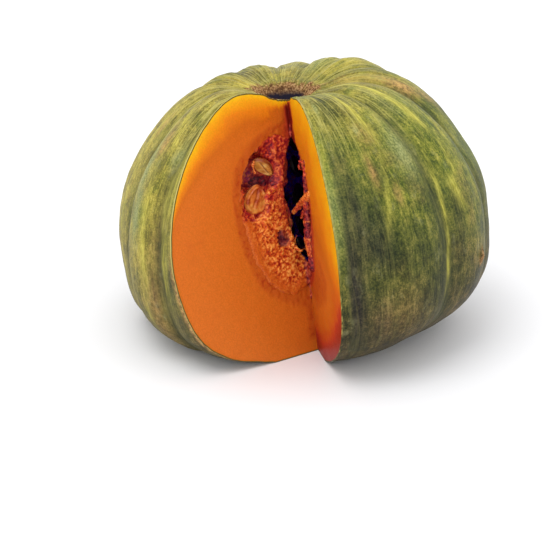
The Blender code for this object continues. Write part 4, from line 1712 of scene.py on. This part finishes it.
def make_seeds(material):
    """A detailed seed in place of every solid one."""
    nodes = sorted(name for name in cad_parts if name.startswith("seed_"))
    nodes.remove("seed_pulp")
    for node in nodes:
        seed = build_seed()
        axes = seed_axes(node)
        behind = distance_from_wedge(FRUIT.inverted() @ axes.translation)
        hidden = seed.verts.layers.float.new("hidden")
        pulpy = seed.verts.layers.float.new("pulpy")
        for vertex in seed.verts:
            vertex[pulpy] = SEED_JUICINESS if node in SEED_FULLNESS else 0.0
            # Painted shade on seeds that lie deeper behind the cuts
            vertex[hidden] = smooth_share(behind, SEED_SHADE_START, HOLLOW_SHADE_FULL)
        name = node.replace("seed", "squash_seed")
        piece = add_piece(name, seed, (material,), axes, SEED_SHARP_ANGLE)
        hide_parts(node)


# ---------------------------------------------------------------- floor, light and camera

CAMERA_RISE = math.radians(21.0)
CAMERA_DISTANCE = 11.8 * RADIUS
FOCAL_LENGTH = 141.5
SENSOR_WIDTH = 36.0
AIM_RIGHT = -15.4 * MM  # the camera aims to the left of the fruit's centre, and below it
AIM_UP = -34.8 * MM
FLOOR_RADIUS = 6.0

WORLD_STRENGTH = 1.34
KEY_PLACE = Vector((-0.42, -0.62, 1.50))  # from the fruit's centre
KEY_SIZE = 0.95
KEY_POWER = 9.0
FILL_PLACE = Vector((1.00, -0.60, 0.45))
FILL_SIZE = 0.80
FILL_POWER = 0.5


def make_floor():
    """A wide sheet of pale paper under the fruit."""
    floor = bmesh.new()
    bmesh.ops.create_circle(floor, cap_ends=True, segments=96, radius=FLOOR_RADIUS)
    mesh = mesh_from("paper_floor", floor)
    mesh.materials.append(paper_material())
    paper = add_object("paper_floor", mesh)
    paper.location.z = CAD_BOX[0].z


def stand_and_aim(holder, place, aim):
    """Stand a lamp or the camera at a place, turned towards an aim."""
    holder.location = place
    holder.rotation_euler = (aim - place).to_track_quat("-Z", "Y").to_euler()


def add_area_light(name, place, aim, size, power):
    """A square soft light."""
    lamp = bpy.data.lights.new(name, "AREA")
    lamp.size = size
    lamp.energy = power
    stand_and_aim(add_object(name, lamp), place, aim)


def light_studio(middle):
    """A white room, a big soft light high on the left, and a weak one on the right."""
    world = bpy.data.worlds.new("white_room")
    bpy.context.scene.world = world
    world.use_nodes = True
    background = world.node_tree.nodes["Background"]
    background.inputs["Color"].default_value = colour("#FFFFFF")
    background.inputs["Strength"].default_value = WORLD_STRENGTH
    add_area_light("key_softbox", middle + KEY_PLACE, middle, KEY_SIZE, KEY_POWER)
    add_area_light("right_fill", middle + FILL_PLACE, middle, FILL_SIZE, FILL_POWER)


def place_camera():
    """A long lens that looks down a little on the notch."""
    centre = FRUIT.translation
    forward = Vector((0.0, math.cos(CAMERA_RISE), -math.sin(CAMERA_RISE)))
    up = Vector((0.0, math.sin(CAMERA_RISE), math.cos(CAMERA_RISE)))
    camera = bpy.data.cameras.new("camera")
    camera.sensor_width = SENSOR_WIDTH
    camera.lens = FOCAL_LENGTH
    aim = centre + Vector((1.0, 0.0, 0.0)) * AIM_RIGHT + up * AIM_UP
    holder = add_object("camera", camera)
    stand_and_aim(holder, centre - forward * CAMERA_DISTANCE, aim)
    bpy.context.scene.camera = holder


def main():
    # Without this the offsets of noise_vector, which sways the strands, change from run to run
    noise.seed_set(STRAND_RANDOM_START)
    make_fruit(rind_material(), flesh_material())
    pulp = pulp_material()
    make_pulp(pulp)
    make_shreds(pulp)
    make_strings(string_material())
    make_seeds(seed_material())
    make_floor()
    light_studio(FRUIT.translation)
    place_camera()
    bpy.context.scene.view_settings.view_transform = "Standard"


main()
